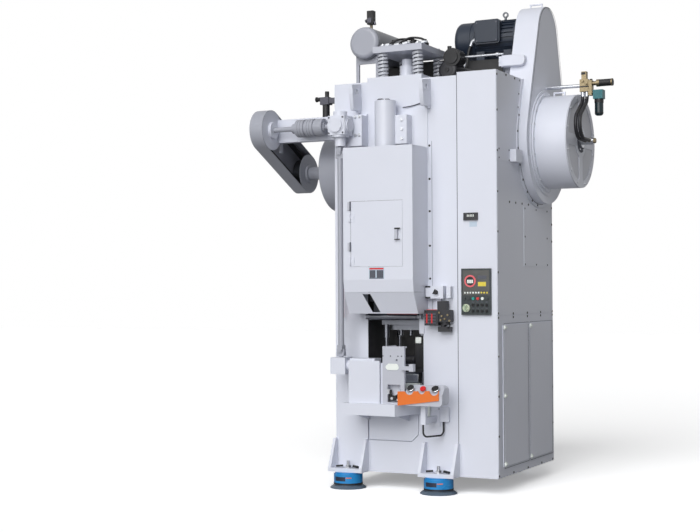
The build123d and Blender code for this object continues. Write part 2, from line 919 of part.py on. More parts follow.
slide_left = window_left + gib_thickness + guide_gap
slide_right = window_right - gib_thickness - guide_gap
slide_y = (front_y + slide_front_set_back, front_y + slide_front_set_back + slide_depth)
balance_y = front_y - balance_set_off
horn_drop = 115.0
horn_height = 60.0
horn_z = (slide_top_z - horn_drop - horn_height, slide_top_z - horn_drop)
with BuildPart() as slide:
    slab((slide_left, slide_right), slide_y, (slide_bottom_z, slide_top_z))
    slab(
        (slide_left + 70, slide_right - 70),
        (slide_y[0], slide_y[0] + 60),
        (slide_bottom_z + 240, slide_top_z - 330),
        Mode.SUBTRACT,
    )
    for slot_x in (axis_x - 120, axis_x + 120):
        slab(
            (slot_x - 11, slot_x + 11),
            slide_y,
            (slide_bottom_z, slide_bottom_z + 36),
            Mode.SUBTRACT,
        )
        slab(
            (slot_x - 19, slot_x + 19),
            slide_y,
            (slide_bottom_z + 18, slide_bottom_z + 36),
            Mode.SUBTRACT,
        )
    slab((balance_x - 55, balance_x + 55), (balance_y - 45, slide_y[0]), horn_z)
    slab(
        (balance_x - 12, balance_x + 12),
        (balance_y + 60, slide_y[0]),
        (horn_z[0] - 90, horn_z[0]),
    )
save(slide, "slide")

# Counterbalance cylinder in front of the crown, with its rod on the slide's horn
balance_bore_depth = 480.0
rod_overlap = 380.0
bracket_set_off = 72.0
bracket_width = 140.0
bracket_rise = 420.0
bracket_height = 260.0
bracket_x = (balance_x + bracket_set_off, balance_x + bracket_set_off + bracket_width)
bracket_z = (balance_bottom_z + bracket_rise, balance_bottom_z + bracket_rise + bracket_height)
with BuildPart() as balance_cylinder:
    rod_z(balance_x, balance_y, balance_radius, (balance_bottom_z, balance_top_z))
    rod_z(balance_x, balance_y, balance_radius - 8, (balance_top_z, balance_top_z + 10))
    for turn in range(4):
        angle = math.radians(45 + 90 * turn)
        rod_z(
            balance_x + (balance_radius - 28) * math.cos(angle),
            balance_y + (balance_radius - 28) * math.sin(angle),
            9,
            (balance_top_z + 10, balance_top_z + 20),
        )
    rod_z(
        balance_x,
        balance_y,
        balance_rod_radius + shaft_gap,
        (balance_bottom_z, balance_bottom_z + balance_bore_depth),
        Mode.SUBTRACT,
    )
    slab(bracket_x, (front_y - 120, front_y - pad_thickness), bracket_z)
    fillet(
        balance_cylinder.edges().filter_by(Axis.Z).filter_by_position(
            Axis.X, bracket_x[1] - 1, bracket_x[1] + 1
        ),
        radius=10,
    )
    for bolt_rise in (45.0, 130.0, 215.0):
        rod_y(bracket_x[1] - 48, bracket_z[0] + bolt_rise, 13, (front_y - 130, front_y - 120))
save(balance_cylinder, "balance_cylinder")

with BuildPart() as balance_rod:
    rod_z(
        balance_x,
        balance_y,
        balance_rod_radius,
        (horn_z[1], balance_bottom_z + rod_overlap),
    )
save(balance_rod, "balance_rod")

# Bolster with its T-slots and tapped holes, and the die set on it
bolster_top_z = bed_z + bolster_height
die_y = front_y + 30 + bolster_depth / 2
bolster_y = (die_y - bolster_depth / 2, die_y + bolster_depth / 2)
with BuildPart() as bolster:
    slab((axis_x - bolster_width / 2, axis_x + bolster_width / 2), bolster_y, (bed_z, bolster_top_z))
    for slot_x in (axis_x - 235, axis_x + 235):
        slab((slot_x - 10, slot_x + 10), bolster_y, (bolster_top_z - 34, bolster_top_z), Mode.SUBTRACT)
        slab(
            (slot_x - 17, slot_x + 17),
            bolster_y,
            (bolster_top_z - 34, bolster_top_z - 18),
            Mode.SUBTRACT,
        )
    for hole_x in (-1, 1):
        for hole_y in (-1, 1):
            rod_z(
                axis_x + hole_x * bolster_hole_spacing_x / 2,
                die_y + hole_y * bolster_hole_spacing_y / 2,
                bolster_hole_radius,
                (bolster_top_z - 45, bolster_top_z),
                Mode.SUBTRACT,
            )
save(bolster, "bolster")

station_xs = [axis_x + (i - (station_count - 1) / 2) * station_pitch for i in range(station_count)]
post_places = [
    (axis_x + px * (die_shoe_width / 2 - 32), die_y + py * (die_shoe_depth / 2 - 34))
    for px in (-1, 1)
    for py in (-1, 1)
]
shoe_top_z = bolster_top_z + die_shoe_height
holder_top_z = shoe_top_z + die_holder_height
with BuildPart() as lower_die:
    slab(
        (axis_x - die_shoe_width / 2, axis_x + die_shoe_width / 2),
        (die_y - die_shoe_depth / 2, die_y + die_shoe_depth / 2),
        (bolster_top_z, shoe_top_z),
    )
    slab(
        (axis_x - die_holder_width / 2, axis_x + die_holder_width / 2),
        (die_y - die_holder_depth / 2, die_y + die_holder_depth / 2),
        (shoe_top_z, holder_top_z),
    )
    for station_x in station_xs:
        rod_z(station_x, die_y, station_radius, (holder_top_z, holder_top_z + station_height))
        rod_z(
            station_x,
            die_y,
            punch_radius + 1,
            (holder_top_z, holder_top_z + station_height),
            Mode.SUBTRACT,
        )
    for post_x, post_y in post_places:
        rod_z(post_x, post_y, post_radius, (shoe_top_z, shoe_top_z + post_height))
save(lower_die, "lower_die")

upper_shoe_z = slide_bottom_z - die_shoe_height
with BuildPart() as upper_die:
    slab(
        (axis_x - die_shoe_width / 2, axis_x + die_shoe_width / 2),
        (die_y - die_shoe_depth / 2, die_y + die_shoe_depth / 2),
        (upper_shoe_z, slide_bottom_z),
    )
    slab(
        (axis_x - die_holder_width / 2, axis_x + die_holder_width / 2),
        (die_y - die_holder_depth / 2, die_y + die_holder_depth / 2),
        (upper_shoe_z - 50, upper_shoe_z),
    )
    for station_x in station_xs:
        rod_z(station_x, die_y, punch_radius, (upper_shoe_z - 50 - punch_length, upper_shoe_z - 50))
    for post_x, post_y in post_places:
        rod_z(post_x, post_y, bushing_radius, (upper_shoe_z - bushing_length, upper_shoe_z))
    for post_x, post_y in post_places:
        rod_z(
            post_x,
            post_y,
            post_radius + post_clearance,
            (upper_shoe_z - bushing_length, slide_bottom_z),
            Mode.SUBTRACT,
        )
save(upper_die, "upper_die")

# Round work lamp across the top of the die space
lamp_z = cover_bottom_z - 32.0
lamp_y = front_y - 45.0
lamp_radius = 29.0
with BuildPart() as die_lamp:
    rod_x(lamp_y, lamp_z, lamp_radius, (axis_x - 215, axis_x + 215))
    for end_x in (axis_x - 232, axis_x + 215):
        rod_x(lamp_y, lamp_z, lamp_radius + 3, (end_x, end_x + 17))
    for end, wall_x, pad_end_y in (
        (-1, window_left, front_y + 24),
        (1, window_right, front_y - 10),
    ):
        arm_x = sorted((axis_x + end * 225, wall_x))
        slab(arm_x, (lamp_y - 8, lamp_y + 8), (lamp_z - 12, lamp_z + 12))
        pad_x = sorted((wall_x - end * 6, wall_x))
        slab(pad_x, (lamp_y - 8, pad_end_y), (lamp_z - 22, lamp_z + 22))
save(die_lamp, "die_lamp")


def hood(levels):
    """A bent sheet hood in front of the frame, with its reach given at each height."""
    outer = [(front_y - reach, z) for z, reach in levels]
    inner = [(front_y - reach + cover_sheet, z) for z, reach in levels]
    top_z = levels[0][0]
    low_z = levels[-1][0]
    side_profile([(front_y, top_z)] + outer + [(front_y, low_z)], (cover_left_x, cover_right_x))
    side_profile(
        [(front_y, top_z)] + inner + [(front_y, low_z)],
        (cover_left_x + cover_sheet, cover_right_x - cover_sheet),
        Mode.SUBTRACT,
    )
    slab(
        (cover_left_x - cover_flange, cover_left_x),
        (front_y - cover_sheet, front_y),
        (low_z, top_z),
    )
    slab(
        (cover_right_x, cover_right_x + cover_flange),
        (front_y - cover_sheet, front_y),
        (low_z, top_z),
    )


# Sheet cover over the slide, with an opening for its door
hinge_x = door_left_x - 6
hinge_y = cover_front_y - hinge_radius
hinge_zs = (door_bottom_z + hinge_low_rise, door_bottom_z + hinge_low_rise + hinge_spacing)
with BuildPart() as slide_cover:
    hood(
        [
            (cover_top_z, cover_reach),
            (cover_bend_z, cover_reach),
            (cover_seam_z, cover_seam_reach),
        ]
    )
    slab(
        (cover_left_x, cover_right_x),
        (cover_front_y, cover_front_y + 60),
        (cover_top_z - cover_sheet, cover_top_z),
    )
    slab(
        (door_left_x - door_gap, door_right_x + door_gap),
        (cover_front_y, cover_front_y + cover_sheet),
        (door_bottom_z - door_gap, door_top_z + door_gap),
        Mode.SUBTRACT,
    )
    slab(
        (pad_left_x - 2, pad_right_x + 2),
        (front_y - pad_thickness - 2, front_y),
        (pad_z[0] - 2, cover_top_z),
        Mode.SUBTRACT,
    )
    for hinge_z in hinge_zs:
        for end in (-1, 1):
            middle_z = hinge_z + end * hinge_length / 3
            rod_z(
                hinge_x,
                hinge_y,
                hinge_radius,
                (middle_z - hinge_length / 6 + 0.3, middle_z + hinge_length / 6 - 0.3),
            )
        slab(
            (hinge_x - 30, hinge_x - hinge_radius - 0.5),
            (cover_front_y - 3, cover_front_y),
            (hinge_z - hinge_length / 2, hinge_z + hinge_length / 2),
        )
        for end in (-1, 1):
            middle_z = hinge_z + end * hinge_length / 3
            slab(
                (hinge_x - 12, hinge_x),
                (cover_front_y - 6, cover_front_y - 2),
                (middle_z - hinge_length / 6 + 0.3, middle_z + hinge_length / 6 - 0.3),
            )
        rod_z(
            hinge_x,
            hinge_y,
            hinge_pin_radius,
            (hinge_z - hinge_length / 2, hinge_z + hinge_length / 2),
        )
save(slide_cover, "slide_cover")

with BuildPart() as cover_door:
    slab(
        (door_left_x, door_right_x),
        (cover_front_y, cover_front_y + cover_sheet),
        (door_bottom_z, door_top_z),
    )
    for hinge_z in hinge_zs:
        rod_z(
            hinge_x,
            hinge_y,
            hinge_radius,
            (hinge_z - hinge_length / 6, hinge_z + hinge_length / 6),
        )
        slab(
            (hinge_x, door_left_x + 34),
            (cover_front_y - 6, cover_front_y - 2),
            (hinge_z - hinge_length / 6, hinge_z + hinge_length / 6),
        )
        slab(
            (door_left_x + 4, door_left_x + 34),
            (cover_front_y - 3, cover_front_y),
            (hinge_z - hinge_length / 2, hinge_z + hinge_length / 2),
        )
        rod_z(
            hinge_x,
            hinge_y,
            hinge_pin_radius + hinge_pin_gap,
            (hinge_z - hinge_length / 6, hinge_z + hinge_length / 6),
            Mode.SUBTRACT,
        )
    handle_x = door_right_x - 54
    handle_z = door_bottom_z + 285
    rod_y(handle_x, handle_z, 9.3, (cover_front_y, cover_front_y + cover_sheet), Mode.SUBTRACT)
save(cover_door, "cover_door")

# Turning handle of the door
with BuildPart() as door_handle:
    slab(
        (handle_x - 13, handle_x + 13),
        (cover_front_y - 26, cover_front_y - 10),
        (handle_z - 55, handle_z + 55),
    )
    fillet(door_handle.edges().filter_by(Axis.Y), radius=10)
    rod_y(handle_x, handle_z, 17, (cover_front_y - 10, cover_front_y - 0.3))
    rod_y(handle_x, handle_z, 9, (cover_front_y - 0.3, cover_front_y + 22))
    slab(
        (handle_x - 12, handle_x + 12),
        (cover_front_y + 16, cover_front_y + 22),
        (handle_z - 12, handle_z + 12),
    )
    slab(
        (handle_x, handle_x + 46),
        (cover_front_y + 16, cover_front_y + 20),
        (handle_z - 10, handle_z + 10),
    )
save(door_handle, "door_handle")

# Skirt below the cover, with a slanted slot
slot_top_z = cover_seam_z - 17
slot_low_z = cover_bottom_z + 12
slot_left_x = cover_left_x + 178
slot_width = 78.0
slot_lean = 62.0
with BuildPart() as cover_skirt:
    hood([(cover_seam_z - 2, cover_seam_reach), (cover_bottom_z, cover_bottom_reach)])
    front_profile(
        [
            (slot_left_x, slot_top_z),
            (slot_left_x + slot_width, slot_top_z),
            (slot_left_x + slot_width + slot_lean, slot_low_z),
            (slot_left_x + slot_lean, slot_low_z),
        ],
        (cover_front_y, cover_front_y + 200),
        Mode.SUBTRACT,
    )
save(cover_skirt, "cover_skirt")

# Knockout unit on the crown: sprung plate, guide pins with nuts, cylinder below
pin_places = [
    (platform_x + px * spring_spacing_x / 2, platform_y + py * spring_spacing_y / 2)
    for px in (-1, 1)
    for py in (-1, 1)
]
platform_top_z = platform_z + platform_thickness
with BuildPart() as knockout_plate:
    slab(
        (platform_x - platform_width / 2, platform_x + platform_width / 2),
        (platform_y - platform_depth / 2, platform_y + platform_depth / 2),
        (platform_z, platform_top_z),
    )
    slab(
        (platform_x - 120, platform_x + 140),
        (platform_y - 190, platform_y + 60),
        (platform_top_z, platform_top_z + 26),
    )
    for pin_x, pin_y in pin_places:
        rod_z(
            pin_x,
            pin_y,
            spring_pin_radius + shaft_gap,
            (platform_z, platform_top_z),
            Mode.SUBTRACT,
        )
save(knockout_plate, "knockout_plate")

coil_height = platform_height - spring_wire_height
with BuildPart() as knockout_springs:
    for pin_x, pin_y in pin_places:
        with BuildPart(mode=Mode.PRIVATE) as coil:
            with BuildLine() as path:
                Helix(coil_height / spring_turns, coil_height, spring_radius)
            with BuildSketch(Plane.XZ) as wire:
                with Locations((spring_radius, 0)):
                    Rectangle(spring_wire_width, spring_wire_height)
            sweep(wire.sketch, path=path.line, is_frenet=True)
        add(coil.part.moved(Location((pin_x, pin_y, crown_z + spring_wire_height / 2))))
save(knockout_springs, "knockout_springs")

with BuildPart() as knockout_pins:
    for pin_x, pin_y in pin_places:
        rod_z(pin_x, pin_y, spring_pin_radius, (crown_z, platform_top_z + 32))
        with BuildSketch(Plane.XY.offset(platform_top_z + running_gap)) as nut:
            with Locations((pin_x, pin_y)):
                RegularPolygon(25, 6)
        extrude(nut.sketch, amount=20)
    rod_z(platform_x, platform_y - 90, 65, (crown_z, crown_z + 150))
    rod_z(platform_x, platform_y - 90, 48, (crown_z + 150, crown_z + 215))
save(knockout_pins, "knockout_pins")

# Air tank on its stand, with a pressure switch
tank_y = (tank_front_y, tank_front_y + tank_length)
with BuildPart() as air_tank:
    rod_y(tank_x, tank_z, tank_radius, tank_y)
    fillet(air_tank.edges().filter_by(GeomType.CIRCLE), radius=40)
    switch_y = tank_front_y + 180
    rod_z(tank_x, switch_y, 14, (tank_z + tank_radius - 10, tank_z + tank_radius + 48))
    slab(
        (tank_x - 34, tank_x + 30),
        (switch_y - 30, switch_y + 30),
        (tank_z + tank_radius + 48, tank_z + tank_radius + 178),
    )
save(air_tank, "air_tank")

with BuildPart() as tank_stand:
    for saddle_y in (tank_y[0] + 90, tank_y[1] - 110):
        slab((tank_x - 120, tank_x + 120), (saddle_y, saddle_y + 20), (shoulder_z, tank_z - 90))
        slab(
            (tank_x - 88, tank_x + 88),
            (saddle_y, saddle_y + 20),
            (shoulder_z + 30, tank_z - 190),
            Mode.SUBTRACT,
        )
    rod_y(tank_x, tank_z, tank_radius, tank_y, Mode.SUBTRACT)
save(tank_stand, "tank_stand")

# Lubrication pump on the crown
pump_x = axis_x + 278
pump_y = front_y + 672
with BuildPart() as lube_pump:
    rod_z(pump_x, pump_y, 74, (crown_z, crown_z + 30))
    rod_y(pump_x, crown_z + 118, 92, (pump_y - 95, pump_y + 75))
    fillet(lube_pump.edges().filter_by(GeomType.CIRCLE).sort_by(Axis.Y)[0], radius=26)
    slab((pump_x - 40, pump_x + 40), (pump_y - 60, pump_y + 60), (crown_z + 10, crown_z + 60))
    rod_z(pump_x - 28, pump_y - 20, 22, (crown_z + 195, crown_z + 232))
save(lube_pump, "lube_pump")

# Lifting handles on the guard and drum, and the belt tensioner's sleeve
tension_drop = 278.0
sleeve_height = 105.0
sleeve_end = 70.0
sleeve_back = 72.0
sleeve_front_y = front_y + 690
sleeve_inner_y = front_y + 800
tension_z = motor_z - tension_drop
with BuildPart() as guard_fittings:
    for bar_x, bar_y, foot_z in (
        ((guard_back_x + 60, guard_back_x + 172), motor_y, motor_z + guard_small_radius),
        ((drum_start_x + 63, drum_start_x + 166), drive_y, shaft_z + drum_radius),
    ):
        for end_x in bar_x:
            rod_z(end_x, bar_y, 8, (foot_z - 1, foot_z + 40))
        rod_x(bar_y, foot_z + 32, 8, (bar_x[0] - 8, bar_x[1] + 8))
    with BuildPart(mode=Mode.PRIVATE) as sleeve:
        slab(
            (guard_back_x - sleeve_back, guard_front_x - sleeve_end),
            (sleeve_front_y, sleeve_inner_y),
            (tension_z - sleeve_height / 2, tension_z + sleeve_height / 2),
        )
        fillet(sleeve.edges().filter_by(Axis.Y).group_by(Axis.X)[-1], radius=sleeve_height * 0.42)
        fillet(sleeve.faces().sort_by(Axis.Y)[0].edges(), radius=10)
    add(sleeve.part)
    belt_outline(
        (shaft_y, shaft_z),
        guard_big_radius,
        (motor_y, motor_z),
        guard_small_radius,
        (guard_back_x, guard_front_x),
        Mode.SUBTRACT,
    )
    rod_x(drive_y, shaft_z, drum_radius, (drum_start_x, drum_end_x), Mode.SUBTRACT)
save(guard_fittings, "guard_fittings")

# Rotary union on the drum's end plate, and the clutch's air unit above it
union_length = 128.0
union_reach = 62.0
union_x = end_face_x + 60
with BuildPart() as rotary_union:
    rod_x(shaft_y, shaft_z, 62, (end_face_x, end_face_x + 22))
    rod_x(shaft_y, shaft_z, 34, (end_face_x + 22, end_face_x + union_length))
    for port_x in (union_x, union_x + hose_pitch):
        rod_y(port_x, shaft_z, 19, (shaft_y - union_reach, shaft_y))
save(rotary_union, "rotary_union")

valve_depth = 38.0
block_x = (end_face_x + 5, end_face_x + 119)
valve_bottom_z = valve_z - 55
left_unit_z = shoulder_z - 140
with BuildPart() as air_units:
    deep = (drive_y - valve_depth, drive_y + valve_depth)
    slab((block_x[0], block_x[0] + 80), deep, (valve_bottom_z, valve_z + 60))
    slab((block_x[0] + 14, block_x[0] + 60), (deep[0] + 12, deep[1] - 12), (valve_z + 60, valve_z + 135))
    slab((block_x[0] + 80, block_x[1]), (deep[0] + 6, deep[1] - 6), (valve_z - 92, valve_z + 48))
    rod_x(drive_y, valve_z + 20, 20, (block_x[1], block_x[1] + 46))
    rod_x(drive_y, valve_z + 20, 33, (block_x[1] + 46, block_x[1] + 194))
    rod_x(drive_y, valve_z - 66, 12, (block_x[1], block_x[1] + 30))
    slab((block_x[1] + 14, block_x[1] + 106), (deep[0] - 4, deep[1] + 4), (valve_z - 130, valve_z - 46))
    rod_z(block_x[1] + 60, drive_y, 40, (valve_z - 285, valve_z - 130))
    fillet(air_units.edges().filter_by(GeomType.CIRCLE).sort_by(Axis.Z)[0], radius=24)
    rod_x(drive_y, valve_z + 5, 17, (guard_front_x, block_x[0]))
    bowl_x = left_x - 110
    bowl_y = front_y + 40
    slab(
        (bowl_x - 45, bowl_x + 45),
        (bowl_y - 40, bowl_y + 40),
        (left_unit_z - 35, left_unit_z + 35),
    )
    slab(
        (bowl_x + 45, left_x),
        (bowl_y - 30, bowl_y + 30),
        (left_unit_z - 25, left_unit_z + 25),
    )
    rod_z(bowl_x, bowl_y, 34, (left_unit_z - 155, left_unit_z - 35))
    rod_z(bowl_x + 10, bowl_y, 20, (left_unit_z + 35, left_unit_z + 90))
save(air_units, "air_units")

# Two hoses from the air unit to the rotary union, held at both ends
with BuildPart() as clutch_hoses:
    for hose in (0, 1):
        start_x = block_x[0] + 19 + hose * hose_pitch
        end_x = union_x + hose * hose_pitch
        route = [
            (start_x, drive_y, valve_bottom_z),
            (start_x, drive_y, valve_bottom_z - 85),
            (end_x, drive_y - hose_bulge, valve_bottom_z - 265),
            (end_x, drive_y - hose_bulge, shaft_z),
            (end_x, drive_y - union_reach, shaft_z),
        ]
        with BuildLine() as path:
            FilletPolyline(*route, radius=[90, 100, 130])
        with BuildSketch(Plane(origin=path.line @ 0, z_dir=path.line % 0)) as wire:
            Circle(hose_radius)
        sweep(wire.sketch, path=path.line)
save(clutch_hoses, "clutch_hoses")

# Transfer drive: round side cover on the left wall, with the rear shaft's bearing tube
side_drum_x = (left_x - side_drum_length, left_x)
bearing_plate_x = pto_pulley_x + 70
tube_radius = 62.0
with BuildPart() as side_drum:
    rod_x(pto_rear_y, pto_rear_z, side_drum_radius, side_drum_x)
    fillet(side_drum.edges().filter_by(GeomType.CIRCLE).sort_by(Axis.X)[0], radius=14)
    rod_x(
        pto_rear_y,
        pto_rear_z,
        side_drum_radius - drum_wall,
        (side_drum_x[0] + 14, side_drum_x[1]),
        Mode.SUBTRACT,
    )
    rod_x(pto_rear_y, pto_rear_z, tube_radius, (bearing_plate_x, side_drum_x[0] + 60))
    rod_x(pto_rear_y, pto_rear_z, tube_radius + 44, (side_drum_x[0] - 16, side_drum_x[0]))
    rod_x(pto_rear_y, pto_rear_z, tube_radius + 26, (bearing_plate_x, bearing_plate_x + 22))
    rod_x(
        pto_rear_y,
        pto_rear_z,
        pto_shaft_radius + shaft_gap,
        (bearing_plate_x, side_drum_x[0] + 60),
        Mode.SUBTRACT,
    )
save(side_drum, "side_drum")

# Arm that carries the gearbox and the front bearing
mount_x = (left_x + 74, left_x + 346)
mount_front_y = pto_y + gearbox_size / 2
arm_front_y = front_y - 20 - arm_depth
with BuildPart() as transfer_arm:
    slab(mount_x, (mount_front_y, front_y), (pto_z - 180, pto_z + 100))
    slab(
        (mount_x[0] - 24, mount_x[1]),
        (front_y - 30, front_y),
        (pto_z - 200, pto_z + 120),
    )
    slab(
        (bearing_plate_x, mount_x[0]),
        (arm_front_y, front_y - 20),
        (pto_z - arm_height / 2, pto_z + arm_height / 2),
    )
    slab(
        (bearing_plate_x - 15, bearing_plate_x),
        (pto_y, front_y - 20),
        (pto_z - arm_height / 2, pto_z + arm_height / 2),
    )
    rod_x(pto_y, pto_z, pto_guard_radius - pto_guard_wall, (bearing_plate_x - 15, bearing_plate_x))
    rod_x(pto_y, pto_z, 78, (bearing_plate_x, bearing_plate_x + 28))
    rod_x(
        pto_y,
        pto_z,
        pto_shaft_radius + shaft_gap,
        (bearing_plate_x - 15, bearing_plate_x + 28),
        Mode.SUBTRACT,
    )
save(transfer_arm, "transfer_arm")

# Bevel gearboxes at both ends of the upright shaft
half_box = gearbox_size / 2
neck_z = pto_z - half_box - 100
low_box_rise = 402.0
low_box_top_z = table_top_z + low_box_rise
low_box_half = 75.0
low_box_z = low_box_top_z - low_box_half
drive_box_x = (housing_left_x - 30 - panel_width, housing_left_x - 90)
with BuildPart() as bevel_gearboxes:
    slab(
        (gearbox_x - half_box, gearbox_x + half_box),
        (pto_y - half_box, pto_y + half_box),
        (pto_z - half_box, pto_z + half_box),
    )
    fillet(bevel_gearboxes.edges().filter_by(Axis.Z), radius=16)
    rod_y(gearbox_x, pto_z, 64, (pto_y - half_box - 12, pto_y - half_box))
    rod_x(pto_y, pto_z, 64, (gearbox_x + half_box, gearbox_x + half_box + 12))
    rod_x(pto_y, pto_z, 64, (gearbox_x - half_box - 12, gearbox_x - half_box))
    rod_z(gearbox_x, pto_y, 64, (pto_z + half_box, pto_z + half_box + 42))
    rod_z(gearbox_x, pto_y, 84, (pto_z - half_box - 18, pto_z - half_box))
    rod_z(gearbox_x, pto_y, 50, (neck_z, pto_z - half_box - 18))
    rod_z(gearbox_x, pto_y, 20 + shaft_gap, (neck_z, neck_z + 70), Mode.SUBTRACT)
    rod_x(
        pto_y,
        pto_z,
        pto_shaft_radius + shaft_gap,
        (gearbox_x - half_box - 12, gearbox_x - half_box + 60),
        Mode.SUBTRACT,
    )
    slab(
        (gearbox_x - low_box_half, gearbox_x + low_box_half),
        (pto_y - low_box_half, pto_y + low_box_half),
        (low_box_z - low_box_half, low_box_top_z),
    )
    rod_x(pto_y, low_box_z, 46, (gearbox_x + low_box_half, drive_box_x[0]))
    rod_z(gearbox_x, pto_y, 20 + shaft_gap, (low_box_top_z - 60, low_box_top_z), Mode.SUBTRACT)
save(bevel_gearboxes, "bevel_gearboxes")

# Upright shaft with a universal joint at each end
with BuildPart() as cardan_shaft:
    rod_z(gearbox_x, pto_y, 20, (low_box_top_z - 55, neck_z + 65))
    rod_z(gearbox_x, pto_y, cardan_radius, (low_box_top_z + 110, neck_z - 110))
    for joint_z in (low_box_top_z + 60, neck_z - 60):
        slab(
            (gearbox_x - 36, gearbox_x + 36),
            (pto_y - 24, pto_y + 24),
            (joint_z - 50, joint_z - 12),
        )
        slab(
            (gearbox_x - 24, gearbox_x + 24),
            (pto_y - 36, pto_y + 36),
            (joint_z + 12, joint_z + 50),
        )
        rod_x(pto_y, joint_z, 14, (gearbox_x - 40, gearbox_x + 40))
        rod_y(gearbox_x, joint_z, 14, (pto_y - 40, pto_y + 40))
        for end in (-1, 1):
            slab(
                (gearbox_x + end * 30 - 6, gearbox_x + end * 30 + 6),
                (pto_y - 20, pto_y + 20),
                (joint_z - 14, joint_z + 18),
            )
            slab(
                (gearbox_x - 20, gearbox_x + 20),
                (pto_y + end * 30 - 6, pto_y + end * 30 + 6),
                (joint_z - 18, joint_z + 14),
            )
save(cardan_shaft, "cardan_shaft")

# Front pulley, its shaft and the torque limiter with two drums
pulley_x = (pto_pulley_x - pto_pulley_width / 2, pto_pulley_x + pto_pulley_width / 2)
limiter_x = gearbox_x - half_box - 60
with BuildPart() as transfer_front_shaft:
    rod_x(pto_y, pto_z, pto_pulley_radius, pulley_x)
    rod_x(pto_y, pto_z, pto_pulley_radius + 8, (pulley_x[0], pulley_x[0] + 6))
    rod_x(pto_y, pto_z, pto_pulley_radius + 8, (pulley_x[1] - 6, pulley_x[1]))
    rod_x(pto_y, pto_z, pto_shaft_radius, (pulley_x[0], gearbox_x - half_box + 50))
    for drum in range(2):
        rod_x(pto_y, pto_z, 80, (limiter_x - 290 + 98 * drum, limiter_x - 204 + 98 * drum))
    rod_x(pto_y, pto_z, 70, (limiter_x - 290, limiter_x - 90))
    rod_x(pto_y, pto_z, 60, (limiter_x - 90, limiter_x - 20))
    rod_x(pto_y, pto_z, 44, (limiter_x - 340, limiter_x))
save(transfer_front_shaft, "transfer_front_shaft")

with BuildPart() as transfer_rear_shaft:
    rod_x(pto_rear_y, pto_rear_z, pto_pulley_radius, pulley_x)
    rod_x(pto_rear_y, pto_rear_z, pto_pulley_radius + 8, (pulley_x[0], pulley_x[0] + 6))
    rod_x(pto_rear_y, pto_rear_z, pto_pulley_radius + 8, (pulley_x[1] - 6, pulley_x[1]))
    rod_x(pto_rear_y, pto_rear_z, pto_shaft_radius, (pulley_x[0], side_drum_x[0] + 90))
save(transfer_rear_shaft, "transfer_rear_shaft")

transfer_belt_x = (pto_pulley_x - pto_belt_width / 2, pto_pulley_x + pto_belt_width / 2)
with BuildPart() as transfer_belt:
    belt_outline(
        (pto_y, pto_z),
        pto_pulley_radius + running_gap + pto_belt_thickness,
        (pto_rear_y, pto_rear_z),
        pto_pulley_radius + running_gap + pto_belt_thickness,
        transfer_belt_x,
    )
    belt_outline(
        (pto_y, pto_z),
        pto_pulley_radius + running_gap,
        (pto_rear_y, pto_rear_z),
        pto_pulley_radius + running_gap,
        transfer_belt_x,
        Mode.SUBTRACT,
    )
save(transfer_belt, "transfer_belt")

# Belt guard, open towards the press
guard_left_x = bearing_plate_x - 5 - pto_guard_width
with BuildPart() as transfer_guard:
    belt_outline(
        (pto_y, pto_z),
        pto_guard_radius,
        (pto_rear_y, pto_rear_z),
        pto_guard_radius,
        (guard_left_x, bearing_plate_x),
    )
    belt_outline(
        (pto_y, pto_z),
        pto_guard_radius - pto_guard_wall,
        (pto_rear_y, pto_rear_z),
        pto_guard_radius - pto_guard_wall,
        (guard_left_x + pto_guard_wall, bearing_plate_x),
        Mode.SUBTRACT,
    )
    rod_x(pto_rear_y, pto_rear_z, pto_guard_radius, (bearing_plate_x - 8, bearing_plate_x))
    rod_x(
        pto_rear_y,
        pto_rear_z,
        pto_shaft_radius + 12,
        (bearing_plate_x - 8, bearing_plate_x),
        Mode.SUBTRACT,
    )
    slab(
        (bearing_plate_x - 18, bearing_plate_x),
        (front_y - 60, front_y - 20),
        (pto_z - arm_height / 2 - 90, pto_z - arm_height / 2),
    )
    slab(
        (bearing_plate_x - 20, bearing_plate_x),
        (pto_y, front_y - 10),
        (pto_z - arm_height / 2, pto_z + arm_height / 2),
        Mode.SUBTRACT,
    )
save(transfer_guard, "transfer_guard")

# Table of the transfer unit, bolted to the bed
with BuildPart() as transfer_table:
    plan_profile(
        [
            (table_left_x, front_y),
            (table_left_x, table_front_y),
            (table_right_x - table_chamfer, table_front_y),
            (table_right_x, front_y),
        ],
        (table_bottom_z, table_top_z),
    )
    for web_x in (table_left_x + 90, table_right_x - 150):
        side_profile(
            [
                (front_y, table_bottom_z),
                (table_front_y + 60, table_bottom_z),
                (front_y, table_bottom_z - 70),
            ],
            (web_x, web_x + 20),
        )
save(transfer_table, "transfer_table")

